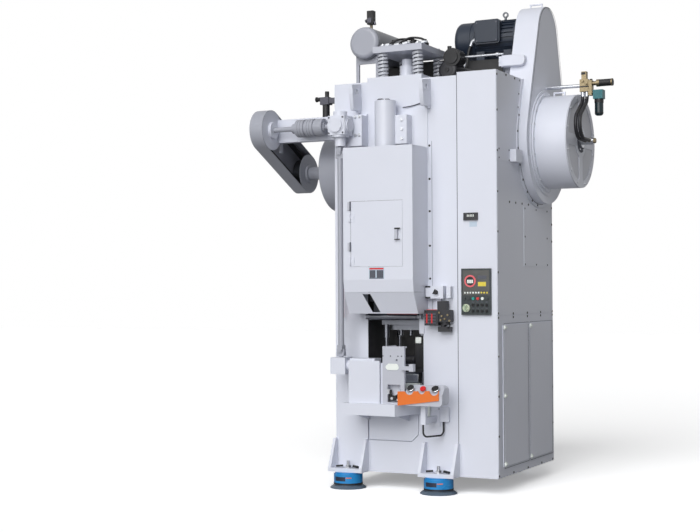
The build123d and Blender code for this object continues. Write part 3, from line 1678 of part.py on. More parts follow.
# Housing of the transfer unit: front plates, drive box and a latch to the right
plate_y = (table_front_y + plate_set_back, table_front_y + plate_set_back + 25)
housing_top_z = table_top_z + housing_height
panel_left_x = housing_left_x - 30 - panel_width
panel_top_z = table_top_z + panel_height
latch_z = table_top_z + 325
with BuildPart() as transfer_housing:
    slab((housing_left_x, housing_right_x - 36), plate_y, (table_top_z, housing_top_z))
    slab(
        (housing_left_x, housing_right_x - 46),
        (plate_y[1], plate_y[1] + 50),
        (housing_top_z - 14, housing_top_z),
    )
    slab(
        (housing_left_x, housing_left_x + 14),
        (plate_y[1], plate_y[0] + housing_depth),
        (table_top_z, housing_top_z),
    )
    slab(
        (housing_left_x + 48, housing_right_x - 76),
        plate_y,
        (table_top_z + 16, table_top_z + 172),
        Mode.SUBTRACT,
    )
    slab(
        (housing_left_x + 14, housing_right_x - 110),
        (plate_y[1] + 40, plate_y[1] + 160),
        (table_top_z, table_top_z + 190),
    )
    rod_y(housing_left_x + 138, housing_top_z - 120, 9, plate_y, Mode.SUBTRACT)
    for eye_x in (housing_left_x + 60, housing_left_x + 134):
        rod_y(eye_x, housing_top_z - 180, 28, (plate_y[0] - 5, plate_y[0]))
    slab(
        (housing_left_x + 60, housing_left_x + 134),
        (plate_y[0] - 5, plate_y[0]),
        (housing_top_z - 208, housing_top_z - 152),
    )
    slab(
        (housing_right_x - 60, housing_right_x + 60),
        (plate_y[0] - 26, plate_y[0]),
        (latch_z - 22, latch_z + 14),
    )
    slab(
        (housing_right_x + 26, housing_right_x + 66),
        (plate_y[0] - 40, plate_y[0] + 10),
        (latch_z - 32, latch_z + 34),
    )
    slab((panel_left_x, housing_left_x - 30), plate_y, (table_top_z, panel_top_z))
    slab(drive_box_x, (plate_y[1], pto_y + 80), (low_box_z - 70, low_box_z + 70))
    slab(
        (housing_left_x - 44, housing_left_x),
        (plate_y[1], plate_y[1] + 20),
        (table_top_z, panel_top_z - 20),
    )
save(transfer_housing, "transfer_housing")

# Two-hand console: grey body on its bracket, orange front sheet, three buttons
console_x = (two_hand_x - 130, two_hand_x + 225)
console_half = 88.0
sheet_depth = 10.0
slope_middle = 49.0
slope_dir = (0.0, -math.sqrt(0.5), math.sqrt(0.5))
palm_xs = (two_hand_x - button_spacing / 2 + 33, two_hand_x + button_spacing / 2 + 33)
stop_x = two_hand_x + 33
collar_height = 6.0


def slope_plane(x):
    """The sloping face of the console at the given place along it, facing the operator."""
    return Plane(
        origin=(x, two_hand_front_y + slope_middle, two_hand_z + slope_middle),
        x_dir=(1, 0, 0),
        z_dir=slope_dir,
    )


def slope_rod(x, radius, start, end, mode=Mode.ADD):
    """A round piece square to the console's slope, between two heights above it."""
    with BuildSketch(slope_plane(x).offset(start)) as face:
        Circle(radius)
    extrude(face.sketch, amount=end - start, mode=mode)


with BuildPart() as two_hand_bracket:
    side_profile(
        [
            (two_hand_front_y + sheet_depth, two_hand_z - console_half),
            (two_hand_front_y + sheet_depth, two_hand_z + sheet_depth),
            (two_hand_front_y + console_half, two_hand_z + console_half),
            (two_hand_front_y + 162, two_hand_z + console_half),
            (two_hand_front_y + 162, two_hand_z - console_half),
        ],
        console_x,
    )
    fillet(two_hand_bracket.edges().filter_by(Axis.Y), radius=40)
    for button_x, radius, depth in (
        (palm_xs[0], palm_radius, 45),
        (palm_xs[1], palm_radius, 45),
        (stop_x, stop_radius, 45),
    ):
        slope_rod(button_x, radius + 6, 0, collar_height)
        slope_rod(button_x, button_stem_radius + button_stem_gap, -depth, collar_height, Mode.SUBTRACT)
    leg_y = (two_hand_front_y + 102, two_hand_front_y + 142)
    slab((two_hand_x - 20, two_hand_x + 25), leg_y, (two_hand_z - 260, two_hand_z - console_half))
    slab(
        (two_hand_x - 20, two_hand_x + 25),
        (leg_y[0], front_y),
        (two_hand_z - 260, two_hand_z - 200),
    )
    slab(
        (two_hand_x - 50, two_hand_x + 55),
        (front_y - 14, front_y),
        (two_hand_z - 300, two_hand_z - 160),
    )
    slab(
        (two_hand_x + 70, two_hand_x + 150),
        (front_y - 40, front_y),
        (two_hand_z - 250, two_hand_z - 122),
    )
save(two_hand_bracket, "two_hand_bracket")

with BuildPart() as two_hand_sheet:
    sheet_left_x = two_hand_x - two_hand_width / 2
    sheet_right_x = sheet_left_x + two_hand_width
    front_profile(
        [
            (sheet_left_x, two_hand_z - 90),
            (sheet_right_x, two_hand_z - 37),
            (sheet_right_x, two_hand_z + 50),
            (sheet_left_x, two_hand_z + 34),
        ],
        (two_hand_front_y, two_hand_front_y + sheet_depth),
    )
    for button_x, radius in (
        (palm_xs[0], palm_radius + 9),
        (palm_xs[1], palm_radius + 9),
        (stop_x, stop_radius + 9),
    ):
        rod_y(
            button_x,
            two_hand_z + slope_middle,
            radius,
            (two_hand_front_y, two_hand_front_y + sheet_depth),
            Mode.SUBTRACT,
        )
save(two_hand_sheet, "two_hand_sheet")

for name, button_x in (("palm_left", palm_xs[0]), ("palm_right", palm_xs[1])):
    with BuildPart() as palm:
        palm_low = collar_height + palm_travel + 1
        slope_rod(button_x, palm_radius, palm_low, palm_low + 16)
        fillet(palm.edges().group_by(Axis.Z)[-1], radius=7)
        slope_rod(button_x, button_stem_radius, -30, collar_height + palm_travel + 1)
    save(palm, name)

with BuildPart() as stop_button:
    slope_rod(stop_x, stop_radius, collar_height + stop_travel + 1, collar_height + stop_travel + 15)
    slope_rod(stop_x, button_stem_radius, -30, collar_height + stop_travel + 1)
save(stop_button, "stop_button")

# Cable loop below the console
loop_radius = 8.0
loop_low_z = two_hand_z - 370
loop_end_y = front_y - 20
with BuildPart() as console_cable:
    with BuildLine() as path:
        FilletPolyline(
            (two_hand_x - 6, (leg_y[0] + leg_y[1]) / 2, two_hand_z - 260),
            (two_hand_x - 6, (leg_y[0] + leg_y[1]) / 2, loop_low_z),
            (two_hand_x + 94, loop_end_y, loop_low_z),
            (two_hand_x + 94, loop_end_y, two_hand_z - 250),
            radius=48,
        )
    with BuildSketch(Plane(origin=path.line @ 0, z_dir=path.line % 0)) as wire:
        Circle(loop_radius)
    sweep(wire.sketch, path=path.line)
save(console_cable, "console_cable")

# Operator's panel on the cabinet front, with its dial and push buttons
panel_face_y = front_y - screen_reach
with BuildPart() as control_panel:
    slab((screen_left_x, screen_right_x), (panel_face_y, front_y), (screen_bottom_z, screen_top_z))
    slab(
        (screen_left_x + 12, screen_right_x - 12),
        (panel_face_y, panel_face_y + 3),
        (screen_bottom_z + 175, screen_top_z - 14),
        Mode.SUBTRACT,
    )
    rod_y(screen_left_x + 85, screen_top_z - 111, 54, (panel_face_y - 2, panel_face_y + 3))
    rod_y(
        screen_left_x + 85,
        screen_top_z - 111,
        40,
        (panel_face_y - 2, panel_face_y + 1),
        Mode.SUBTRACT,
    )
    for button in range(6):
        rod_y(
            screen_left_x + 30 + 43 * button,
            screen_bottom_z + 145,
            13,
            (panel_face_y - 9, panel_face_y),
        )
    for column in range(4):
        for row in range(2):
            rod_y(
                screen_left_x + 112 + 43 * column,
                screen_bottom_z + 35 + 53 * row,
                13,
                (panel_face_y - 9, panel_face_y),
            )
    rod_y(selector_x, selector_z, 8 + shaft_gap, (panel_face_y, panel_face_y + 16), Mode.SUBTRACT)
save(control_panel, "control_panel")

with BuildPart() as selector_knob:
    rod_y(selector_x, selector_z, selector_radius, (panel_face_y - 14, panel_face_y - 0.3))
    slab(
        (selector_x - 8, selector_x + 8),
        (panel_face_y - 30, panel_face_y - 14),
        (selector_z - 30, selector_z + 30),
    )
    rod_y(selector_x, selector_z, 8, (panel_face_y - 0.3, panel_face_y + 15))
save(selector_knob, "selector_knob")

with BuildPart() as counter:
    counter_z = (bottom_z + counter_rise, bottom_z + counter_rise + counter_height)
    slab(
        (screen_left_x + 21, screen_left_x + 21 + counter_width),
        (front_y - 18, front_y),
        counter_z,
    )
    slab(
        (screen_left_x + 31, screen_left_x + 11 + counter_width),
        (front_y - 18, front_y - 14),
        (counter_z[0] + 24, counter_z[1] - 10),
        Mode.SUBTRACT,
    )
save(counter, "counter")

# Solenoid valve group beside the window
valve_left_x = cover_right_x + cover_flange + 4
manifold_z = cover_bottom_z - 107
with BuildPart() as valve_group:
    for left, right, front, back, low, high in (
        (-36, 132, 80, 4, 240, 352),
        (40, 90, 30, 0, 138, 240),
        (-36, 95, 110, 18, 0, 138),
        (0, 80, 18, 0, 20, 120),
        (82, 168, 96, 30, 138, 218),
        (95, 206, 100, 20, 30, 138),
        (81, 196, 80, 20, -55, -12),
        (100, 130, 60, 0, -55, 30),
        (-132, -84, 10, 0, -76, 102),
        (-101, -35, 10, 0, 20, 60),
    ):
        slab(
            (valve_left_x + left, valve_left_x + right),
            (front_y - front, front_y - back),
            (manifold_z + low, manifold_z + high),
        )
    rod_y(valve_left_x + 150, manifold_z + 20, 16, (front_y - 90, front_y))
save(valve_group, "valve_group")
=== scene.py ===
"""Looks of the mechanical stamping press: paint and metals, small fittings, stage and camera.

Everything is in metres in the CAD frame: the front faces -Y, +X is to the right, +Z is up.
Places come from the boxes of the CAD nodes, so a fitting follows the part that carries it. The
numbers inside a function are places and sizes of its own fittings, read off the photographed view.
"""

import json
import math

import bmesh
import bpy
from mathutils import Matrix, Vector


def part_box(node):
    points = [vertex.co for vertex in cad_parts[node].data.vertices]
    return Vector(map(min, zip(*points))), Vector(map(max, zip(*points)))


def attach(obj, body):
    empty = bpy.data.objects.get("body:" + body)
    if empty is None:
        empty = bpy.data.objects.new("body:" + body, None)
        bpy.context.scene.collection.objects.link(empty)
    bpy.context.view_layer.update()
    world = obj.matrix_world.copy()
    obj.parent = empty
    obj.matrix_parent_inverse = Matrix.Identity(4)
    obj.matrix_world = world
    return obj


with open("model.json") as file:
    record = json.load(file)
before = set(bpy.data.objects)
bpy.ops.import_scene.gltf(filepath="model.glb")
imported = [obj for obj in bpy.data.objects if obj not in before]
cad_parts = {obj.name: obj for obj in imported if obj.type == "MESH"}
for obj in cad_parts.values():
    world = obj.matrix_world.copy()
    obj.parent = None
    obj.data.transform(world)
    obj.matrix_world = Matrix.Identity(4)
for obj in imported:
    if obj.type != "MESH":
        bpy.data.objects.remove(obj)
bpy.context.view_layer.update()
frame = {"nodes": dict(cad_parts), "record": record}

nodes = frame["nodes"]

# Sizes that the solids have, in metres, directions, and faces that fittings stand on
MM = 0.001
FRAME_WIDTH = 1.226
RIGHT = (1, 0, 0)
TO_FRONT = (0, -1, 0)
SIX_TURNS = range(0, 360, 60)
GEAR_HALF = 0.0875
TANK_RADIUS = 0.152
DRUM_RADIUS = 0.132
CYLINDER_RADIUS = 0.098
MUFFLER_LENGTH = 0.194
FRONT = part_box("cabinet")[0].y
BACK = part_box("cabinet")[1].y
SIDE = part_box("cabinet")[1].x
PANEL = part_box("side_panels")[1].x
SEAM_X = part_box("cabinet")[0].x
LEFT = SEAM_X - FRAME_WIDTH
AXIS = SEAM_X - FRAME_WIDTH / 2

PANEL_FACE = SIDE + 0.004
HATCH_FACE = SIDE + 0.007
DOOR_FACE = PANEL
FLANGE_FACE = SIDE + 0.012
DRUM_FLANGE_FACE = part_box("drum_cover")[0].x + 0.014


def middle(node):
    """The middle of a node's box."""
    return sum(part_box(node), Vector()) / 2


WHEEL = tuple(middle("flywheel").yz)
MOTOR = tuple(middle("motor_pulley").yz)
GEARBOX = (*middle("cardan_shaft").xy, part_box("transfer_front_shaft")[0].z + 0.138)
MOUNT_FACE = GEARBOX[1] + GEAR_HALF
TANK_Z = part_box("air_tank")[0].z + TANK_RADIUS
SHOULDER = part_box("tank_stand")[0].z
VALVE_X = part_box("slide_cover")[1].x + 0.004
VALVE_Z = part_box("cover_skirt")[0].z - 0.107
HOSE_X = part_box("clutch_hoses")[0].x + 0.017
UNION_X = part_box("drum_end_plate")[1].x + 0.06
PLATE_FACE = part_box("transfer_table")[0].y + 0.05
FOOT_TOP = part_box("isolator_drums")[1].z + 0.035
SLEEVE_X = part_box("guard_fittings")[0].x
SLEEVE_YZ = (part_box("guard_fittings")[0].y, MOTOR[1] - 0.278)


# Colours and materials


def linear(screen):
    """A screen colour, 0 to 1, as the linear colour that a shader takes."""

    def channel(value):
        if value <= 0.04045:
            return value / 12.92
        return ((value + 0.055) / 1.055) ** 2.4

    return (*map(channel, screen), 1.0)


def shader(name):
    """A new material with its node tree and its Principled node."""
    material = bpy.data.materials.new(name)
    material.use_nodes = True
    tree = material.node_tree
    return material, tree, tree.nodes["Principled BSDF"]


def add_node(tree, kind, **values):
    """A new shader node with values for its inputs, underscores standing for spaces."""
    made = tree.nodes.new("ShaderNode" + kind)
    for key, value in values.items():
        made.inputs[key.replace("_", " ")].default_value = value
    return made


def noise(tree, scale, detail, stretch=(1.0, 1.0, 1.0)):
    """A noise texture in the object's frame, stretched along an axis for brushed metal."""
    place = add_node(tree, "TexCoord")
    mapping = add_node(tree, "Mapping", Scale=stretch)
    texture = add_node(tree, "TexNoise", Scale=scale, Detail=detail)
    tree.links.new(place.outputs["Object"], mapping.inputs["Vector"])
    tree.links.new(mapping.outputs["Vector"], texture.inputs["Vector"])
    return texture.outputs["Fac"]


def ramp(tree, source, low, high):
    """Maps the middle of a noise's range onto the range from low to high."""
    spread = add_node(tree, "MapRange", From_Min=0.3, From_Max=0.7, To_Min=low, To_Max=high)
    tree.links.new(source, spread.inputs["Value"])
    return spread.outputs["Result"]


def tint(tree, source, colour, amount):
    """The colour, made a little lighter and darker by a 0 to 1 value."""
    mix = tree.nodes.new("ShaderNodeMix")
    mix.data_type = "RGBA"
    mix.inputs["A"].default_value = tuple(c * (1 - amount) for c in colour[:3]) + (1.0,)
    mix.inputs["B"].default_value = tuple(min(1, c * (1 + amount)) for c in colour[:3]) + (1.0,)
    tree.links.new(source, mix.inputs["Factor"])
    return mix.outputs["Result"]


def relief(tree, source, strength, distance):
    """A normal that rises and falls with a 0 to 1 value."""
    bump = add_node(tree, "Bump", Strength=strength, Distance=distance)
    tree.links.new(source, bump.inputs["Height"])
    return bump.outputs["Normal"]


def surface(name, colour, uneven, clouds, marks, rough, bump, brushed=False):
    """A material with clouds in its screen colour and fine marks; roughness follows either of them."""
    material, tree, principled = shader(name)
    clouds, marks = noise(tree, *clouds), noise(tree, *marks)
    tree.links.new(tint(tree, clouds, linear(colour), uneven), principled.inputs["Base Color"])
    tree.links.new(ramp(tree, marks if brushed else clouds, *rough), principled.inputs["Roughness"])
    tree.links.new(relief(tree, marks, *bump), principled.inputs["Normal"])
    return material, principled


def paint(name, colour, gloss=0.38, coat=0.15, uneven=0.03):
    """Sprayed enamel: fine orange peel, a thin coat and faint clouds in the colour."""
    rough = (gloss - 0.05, gloss + 0.06)
    material, principled = surface(name, colour, uneven, (2.2, 5.0), (260.0, 2.0), rough, (0.08, 0.0006))
    principled.inputs["Coat Weight"].default_value = coat
    principled.inputs["Coat Roughness"].default_value = 0.2
    return material


def metal(name, colour, rough, uneven=0.12):
    """Bare metal with fine tool or brush marks."""
    marks, rough = (90.0, 6.0, (1.0, 1.0, 30.0)), (rough - 0.07, rough + 0.12)
    material, principled = surface(name, colour, uneven, (8.0, 4.0), marks, rough, (0.15, 0.0002), brushed=True)
    principled.inputs["Metallic"].default_value = 1.0
    return material


def plastic(name, colour, rough, grain=0.1):
    """Moulded plastic or rubber with a fine grain."""
    rough = (rough - 0.05, rough + 0.08)
    return surface(name, colour, 0.08, (14.0, 3.0), (420.0, 3.0), rough, (grain, 0.0004))[0]


PAINTS = {
    "press_paint": paint("press_enamel", (0.85, 0.862, 0.905)),
    "grey_paint": paint("grey_enamel_and_shade", (0.64, 0.65, 0.69)),
    "slide_paint": paint("slide_enamel", (0.42, 0.44, 0.47)),
    "motor_paint": paint("motor_enamel", (0.11, 0.15, 0.21), gloss=0.42, coat=0.05, uneven=0.08),
    "orange_paint": paint("orange_enamel", (0.9, 0.45, 0.13), gloss=0.35),
    "spring_paint": paint("spring_enamel", (0.74, 0.75, 0.78), gloss=0.42),
    "isolator_blue": paint("isolator_enamel", (0.11, 0.53, 0.79), gloss=0.3, coat=0.3),
    "dark_steel": paint("isolator_disc_enamel", (0.34, 0.4, 0.46), gloss=0.35),
    "plated_steel": metal("zinc_plate", (0.8, 0.81, 0.83), 0.28, uneven=0.06),
    "slide_steel": metal("ground_steel", (0.62, 0.63, 0.65), 0.32),
    "tool_steel": metal("tool_steel", (0.52, 0.53, 0.56), 0.34),
    "polished_metal": metal("polished_steel", (0.86, 0.87, 0.89), 0.14, uneven=0.04),
    "cast_wheel": metal("machined_iron", (0.4, 0.41, 0.43), 0.4),
    "brass_fittings": metal("valve_brass", (0.55, 0.5, 0.4), 0.42),
    "belt_rubber": plastic("belt_rubber", (0.15, 0.15, 0.16), 0.6),
    "hose_rubber": plastic("hose_rubber", (0.11, 0.11, 0.13), 0.45),
    "dark_plastic": plastic("black_plastic", (0.15, 0.15, 0.17), 0.42),
    "panel_black": plastic("panel_plastic", (0.17, 0.2, 0.21), 0.4),
    "button_black": plastic("palm_plastic", (0.1, 0.1, 0.11), 0.25, 0.02),
    "button_red": plastic("stop_plastic", (0.85, 0.13, 0.14), 0.25, 0.02),
    "selector_cream": plastic("selector_plastic", (0.83, 0.86, 0.76), 0.35, 0.03),
}
BLACK = plastic("fitting_black", (0.09, 0.09, 0.1), 0.5)
SCREW = metal("screw_steel", (0.36, 0.36, 0.39), 0.35)
SHADOW = plastic("joint_shadow", (0.33, 0.34, 0.38), 0.7)
WHITE = plastic("lamp_white", (0.93, 0.95, 0.93), 0.3, 0.02)
YELLOW = plastic("lamp_yellow", (0.88, 0.8, 0.25), 0.3, 0.02)
TEAL = plastic("button_teal", (0.1, 0.6, 0.56), 0.3, 0.02)
RED = plastic("fitting_red", (0.82, 0.16, 0.17), 0.35, 0.03)
SCREEN = plastic("screen_smoke", (0.27, 0.27, 0.26), 0.2, 0.01)
FILTER = plastic("filter_teal", (0.06, 0.4, 0.43), 0.35)
ROSE = plastic("dial_rose", (0.9, 0.4, 0.43), 0.35, 0.03)
PLATE_AND_HIGHLIGHT = paint("plate_enamel_and_highlight", (0.74, 0.75, 0.79))
INSIDE_SHADE = plastic("inside_shade_dark", (0.13, 0.13, 0.15), 0.6)
TANK_BODY_SHADE = paint("tank_body_shade", (0.44, 0.45, 0.48))
LABEL = plastic("label_navy", (0.13, 0.16, 0.24), 0.4, 0.02)
SMOKE = plastic("filter_bowl_smoke", (0.1, 0.17, 0.19), 0.08, 0.01)
PALE_BLUE = plastic("sign_blue", (0.74, 0.8, 0.86), 0.4, 0.02)
SELECTOR_MARK = plastic("selector_green", (0.42, 0.55, 0.44), 0.4, 0.02)
ENAMEL = PAINTS["press_paint"]
PLATED = PAINTS["plated_steel"]
BRASS = PAINTS["brass_fittings"]
CHROME = PAINTS["polished_metal"]
GREY_AND_SHADE = PAINTS["grey_paint"]


# Meshes


SHARP_ANGLE = math.radians(35.0)
SOFT_ANGLE = math.radians(40.0)


def add_box(bm, low, high):
    """A box between two corners."""
    low, high = Vector(low), Vector(high)
    size = high - low
    place = Matrix.Translation((low + high) / 2) @ Matrix.Diagonal((*size, 1.0))
    bmesh.ops.create_cube(bm, size=1.0, matrix=place)


def add_rod(bm, start, end, radius, sides=24):
    """A round bar from start to end."""
    start, end = Vector(start), Vector(end)
    way = end - start
    turn = way.to_track_quat("Z", "Y").to_matrix().to_4x4()
    bmesh.ops.create_cone(
        bm,
        cap_ends=True,
        segments=sides,
        radius1=radius,
        radius2=radius,
        depth=way.length,
        matrix=Matrix.Translation((start + end) / 2) @ turn,
    )


def add_ring(bm, centre, axis, radius, thickness, sides, round_sides):
    """A round ring about an axis, such as an eyebolt or a bezel."""
    turn = Vector(axis).to_track_quat("Z", "Y").to_matrix()
    rows = []
    for i in range(sides):
        angle = 2 * math.pi * i / sides
        out = Vector((math.cos(angle), math.sin(angle), 0))
        row = []
        for j in range(round_sides):
            tilt = 2 * math.pi * j / round_sides
            spot = out * (radius + thickness * math.cos(tilt))
            spot.z = thickness * math.sin(tilt)
            row.append(bm.verts.new(Vector(centre) + turn @ spot))
        rows.append(row)
    for i in range(sides):
        for j in range(round_sides):
            a, b = rows[i], rows[(i + 1) % sides]
            k = (j + 1) % round_sides
            bm.faces.new((a[j], b[j], b[k], a[k]))


def add_hex(bm, centre, axis, radius, height):
    """A hexagon nut or bolt head standing on a face, with its axis away from the face."""
    add_rod(bm, centre, Vector(centre) + Vector(axis) * height, radius, sides=6)


def add_prism(bm, near, far):
    """A solid between two outlines with the same number of points."""
    ends = [[bm.verts.new(point) for point in outline] for outline in (near, far)]
    for end in ends:
        bm.faces.new(end)
    for i in range(len(near)):
        k = (i + 1) % len(near)
        bm.faces.new((ends[0][i], ends[0][k], ends[1][k], ends[1][i]))


def shade(mesh):
    """Smooth shading with sharp edges where the faces turn by more than SHARP_ANGLE."""
    bm = bmesh.new()
    bm.from_mesh(mesh)
    for face in bm.faces:
        face.smooth = True
    for edge in bm.edges:
        if len(edge.link_faces) == 2 and edge.calc_face_angle(0.0) > SHARP_ANGLE:
            edge.smooth = False
    bm.to_mesh(mesh)
    bm.free()


def piece(name, build, material, body="frame", bevel=0.0):
    """A new piece from a function that fills a bmesh, riding on a CAD body."""
    bm = bmesh.new()
    build(bm)
    bmesh.ops.recalc_face_normals(bm, faces=bm.faces)
    mesh = bpy.data.meshes.new(name)
    bm.to_mesh(mesh)
    bm.free()
    shade(mesh)
    mesh.materials.append(material)
    obj = bpy.data.objects.new(name, mesh)
    bpy.context.scene.collection.objects.link(obj)
    if bevel:
        soften(obj, bevel)
    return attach(obj, body)


def soften(obj, width):
    """A small rounded edge, as paint and machining leave one."""
    edge = obj.modifiers.new("soft_edge", "BEVEL")
    edge.width = width
    edge.segments = 2
    edge.limit_method = "ANGLE"
    edge.angle_limit = SOFT_ANGLE
    edge.harden_normals = False


def solids(name, spans, material, body="frame", bevel=0.0, sides=24):
    """One piece made of boxes, given by two corners, and round bars: start, end and radius."""

    def build(bm):
        for span in spans:
            if len(span) == 2:
                add_box(bm, *span)
            else:
                add_rod(bm, *span, sides=sides)

    return piece(name, build, material, body, bevel)


def screws(name, places, axis, radius, height, material=SCREW):
    """Screw heads at several places, each with a lower rim."""
    way = Vector(axis)

    def build(bm):
        for place in places:
            place = Vector(place)
            add_rod(bm, place, place + way * height, radius, sides=14)
            add_rod(bm, place + way * height, place + way * height * 1.2, radius * 0.8, sides=14)

    piece(name, build, material)


def tube(name, points, radius, material, body="frame"):
    """A pipe or cable along a smooth curve through given control points."""
    curve = bpy.data.curves.new(name, "CURVE")
    curve.dimensions = "3D"
    curve.bevel_depth = radius
    curve.bevel_resolution = 4
    curve.resolution_u = 10
    curve.use_fill_caps = True
    line = curve.splines.new("NURBS")
    line.points.add(len(points) - 1)
    for point, place in zip(line.points, points):
        point.co = (*place, 1.0)
    line.order_u = 3
    line.use_endpoint_u = True
    curve.materials.append(material)
    obj = bpy.data.objects.new(name, curve)
    bpy.context.scene.collection.objects.link(obj)
    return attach(obj, body)


# CAD nodes: finishes and edges


SOFT_EDGES = {
    4.0: "frame",
    3.0: "bed_plate cabinet transfer_table transfer_arm bevel_gearboxes knockout_plate terminal_box",
    2.0: "junction_box bolster slide two_hand_bracket control_panel valve_group",
    1.5: "two_hand_sheet counter transfer_housing motor_base",
    1.2: "slide_cover cover_skirt",
    1.0: "lower_die upper_die",
}


def dress_nodes():
    """Gives every CAD node the finish of its slot and softened edges."""
    widths = {node: width * MM for width, names in SOFT_EDGES.items() for node in names.split()}
    for sub in frame["record"]["subparts"]:
        obj = nodes[sub["node"]]
        obj.data.materials.clear()
        obj.data.materials.append(PAINTS[sub["material_slot"]])
        for polygon in obj.data.polygons:
            polygon.material_index = 0
        if sub["node"] in widths:
            soften(obj, widths[sub["node"]])


# Fittings that the scene adds, area by area


def around(centre, radius, angles, x):
    """Places on a circle in a plane across X; angle 0 points to the front, 90 up."""
    turns = [math.radians(angle) for angle in angles]
    return [(x, centre[0] - radius * math.cos(turn), centre[1] + radius * math.sin(turn)) for turn in turns]


def paint_places(node, material, test=lambda p: True):
    """Another finish on the faces of a CAD node whose middle passes the test."""
    mesh = nodes[node].data
    mesh.materials.append(material)
    index = len(mesh.materials) - 1
    for polygon in mesh.polygons:
        if test(nodes[node].matrix_world @ polygon.center):
            polygon.material_index = index


def dress_cabinet():
    """Seam beside the frame, and the dark screws of the side panels."""
    solids("cabinet_seam", [((SEAM_X - 0.003, FRONT - 0.0006, 0.15), (SEAM_X + 0.003, FRONT, 3.735))], SHADOW)
    column = [3.7, 3.386, 3.03, 2.667, 2.315, 1.956, 1.596, 1.556, 1.216, 0.865, 0.516, 0.168]
    spots = [(FRONT + 0.016, z) for z in column]
    spots += [(y, 3.722) for y in (-0.41, -0.19)]
    spots += [(y, 2.59) for y in (-0.345, -0.185, -0.016, 0.155, 0.815)]
    spots += [(y, z) for y in (-0.268, 0.105, 0.473, 0.815) for z in (1.588, 1.556)]
    spots += [(y, 0.162) for y in (-0.281, 0.097, 0.477, 0.8)]
    spots += [(0.818, z) for z in (2.429, 2.265, 1.3, 0.858, 0.511)]
    screws("panel_screws", [(PANEL_FACE, y, z) for y, z in spots], RIGHT, 0.0105, 0.003, BLACK)
    hatch = [(y, z) for y in (0.052, 0.36, 0.672) for z in (2.55, 2.29, 2.035)]
    hatch.remove((0.36, 2.29))
    screws("hatch_screws", [(HATCH_FACE, y, z) for y, z in hatch], RIGHT, 0.0085, 0.003)


def dress_lower_doors():
    """White quarter-turn catches of the two lower doors, painted highlights along their edges, and joints."""
    x, bottom, top, joint = DOOR_FACE, 0.225, 1.505, 0.004
    catches = []
    for y, z in ((-0.533, 1.468), (-0.533, 0.866), (-0.533, 0.262), (0.142, 1.468), (0.142, 0.262)):
        catches.append(((x, y, z), (x + 0.01, y, z), 0.022))
        catches.append(((x + 0.008, y - 0.026, z - 0.007), (x + 0.02, y + 0.018, z + 0.007)))
    solids("door_catches", catches, WHITE, bevel=0.0015)
    # Painted highlight: pale strips where the doors' edges catch the light.
    strips = [((x, y, bottom), (x + 0.002, y + 0.012, top)) for y in (-0.566, 0.088, 0.768)]
    solids("door_edge_highlights", strips, PLATE_AND_HIGHLIGHT)
    joints = []
    for start, end in ((-0.545, 0.08), (0.13, 0.755)):
        joints.append((start - joint, bottom, start, top))
        joints.append((start, top - joint, end, top))
        joints.append((start, bottom, end, bottom + joint))
        joints.append((end, bottom, end + joint, top))
    solids("door_joints_side", [((x, a, b), (x + 0.0008, c, d)) for a, b, c, d in joints], SHADOW)


def dress_guard():
    """Screws of the guard's flange and of the drum's flange, and the box's cover strip."""
    ring = around(WHEEL, 0.593, range(-84, 22, 15), FLANGE_FACE)
    screws("guard_flange_screws", ring, RIGHT, 0.0105, 0.003, BLACK)
    line = [(FLANGE_FACE, WHEEL[0] - 0.578 + 0.022 * i, WHEEL[1] + 0.28 + 0.125 * i) for i in range(3)]
    screws("guard_edge_screws", line, RIGHT, 0.0085, 0.003)
    ring = around(WHEEL, 0.453, range(-90, 100, 18), DRUM_FLANGE_FACE)
    screws("drum_flange_screws", ring, RIGHT, 0.011, 0.005, PLATED)
    low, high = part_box("junction_box")
    face = PANEL_FACE + 0.002
    strip = ((PANEL_FACE, FRONT + 0.03, low.z), (face, low.y - 0.001, high.z))
    solids("cable_strip", [strip], ENAMEL, bevel=0.0006)
    edges = [(FRONT + 0.055, low.z + 0.018), (FRONT + 0.055, high.z - 0.018)]
    edges += [(low.y - 0.02, low.z + 0.012), (low.y - 0.02, high.z - 0.012)]
    screws("cable_strip_screws", [(face, y, z) for y, z in edges], RIGHT, 0.008, 0.003)


def belt_loop(reach):
    """Points on the guard's outline, moved out by a reach: round the wheel, then round the motor."""
    low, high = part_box("belt_guard")
    big = WHEEL[0] - low.y - 0.036
    small = high.z - MOTOR[1]
    way = Vector(MOTOR) - Vector(WHEEL)
    lean = math.atan2(way.y, way.x)
    turn = math.acos((big - small) / way.length)
    steps = 48
    points = []
    for centre, radius, start, sweep in (
        (WHEEL, big, lean + turn, 2 * math.pi - 2 * turn),
        (MOTOR, small, lean - turn, 2 * turn),
    ):
        for i in range(steps + 1):
            angle = start + sweep * i / steps
            points.append(Vector(centre) + Vector((math.cos(angle), math.sin(angle))) * (radius + reach))
    return points


def belt_band(name, x, inner, outer, material, keep):
    """A flat band that follows the guard's outline where the test keeps it."""
    rows = list(zip(belt_loop(inner), belt_loop(outer)))

    def build(bm):
        for ends in zip(rows, rows[1:] + rows[:1]):
            if not all(keep(point) for row in ends for point in row):
                continue
            corners = [
                [bm.verts.new((face_x, *point)) for point in row] for row in ends for face_x in (x, x + 0.0008)
            ]
            (a, b), (c, d), (e, f), (g, h) = corners
            for face in ((a, b, f, e), (c, d, h, g), (a, c, g, e), (b, d, h, f), (a, b, d, c), (e, f, h, g)):
                bm.faces.new(face)

    piece(name, build, material)


def dress_guard_lines():
    """Weld line round the guard's face and the joint where its flange starts."""
    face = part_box("drum_cover")[0].x
    belt_band("guard_weld", face, -0.01, -0.004, SHADOW, lambda p: p.y > WHEEL[1] - 0.2)

    def in_front(p):
        return p.y < 3.72 and p.x < BACK - 0.01

    belt_band("guard_flange_joint", FLANGE_FACE, 0.001, 0.005, SHADOW, in_front)


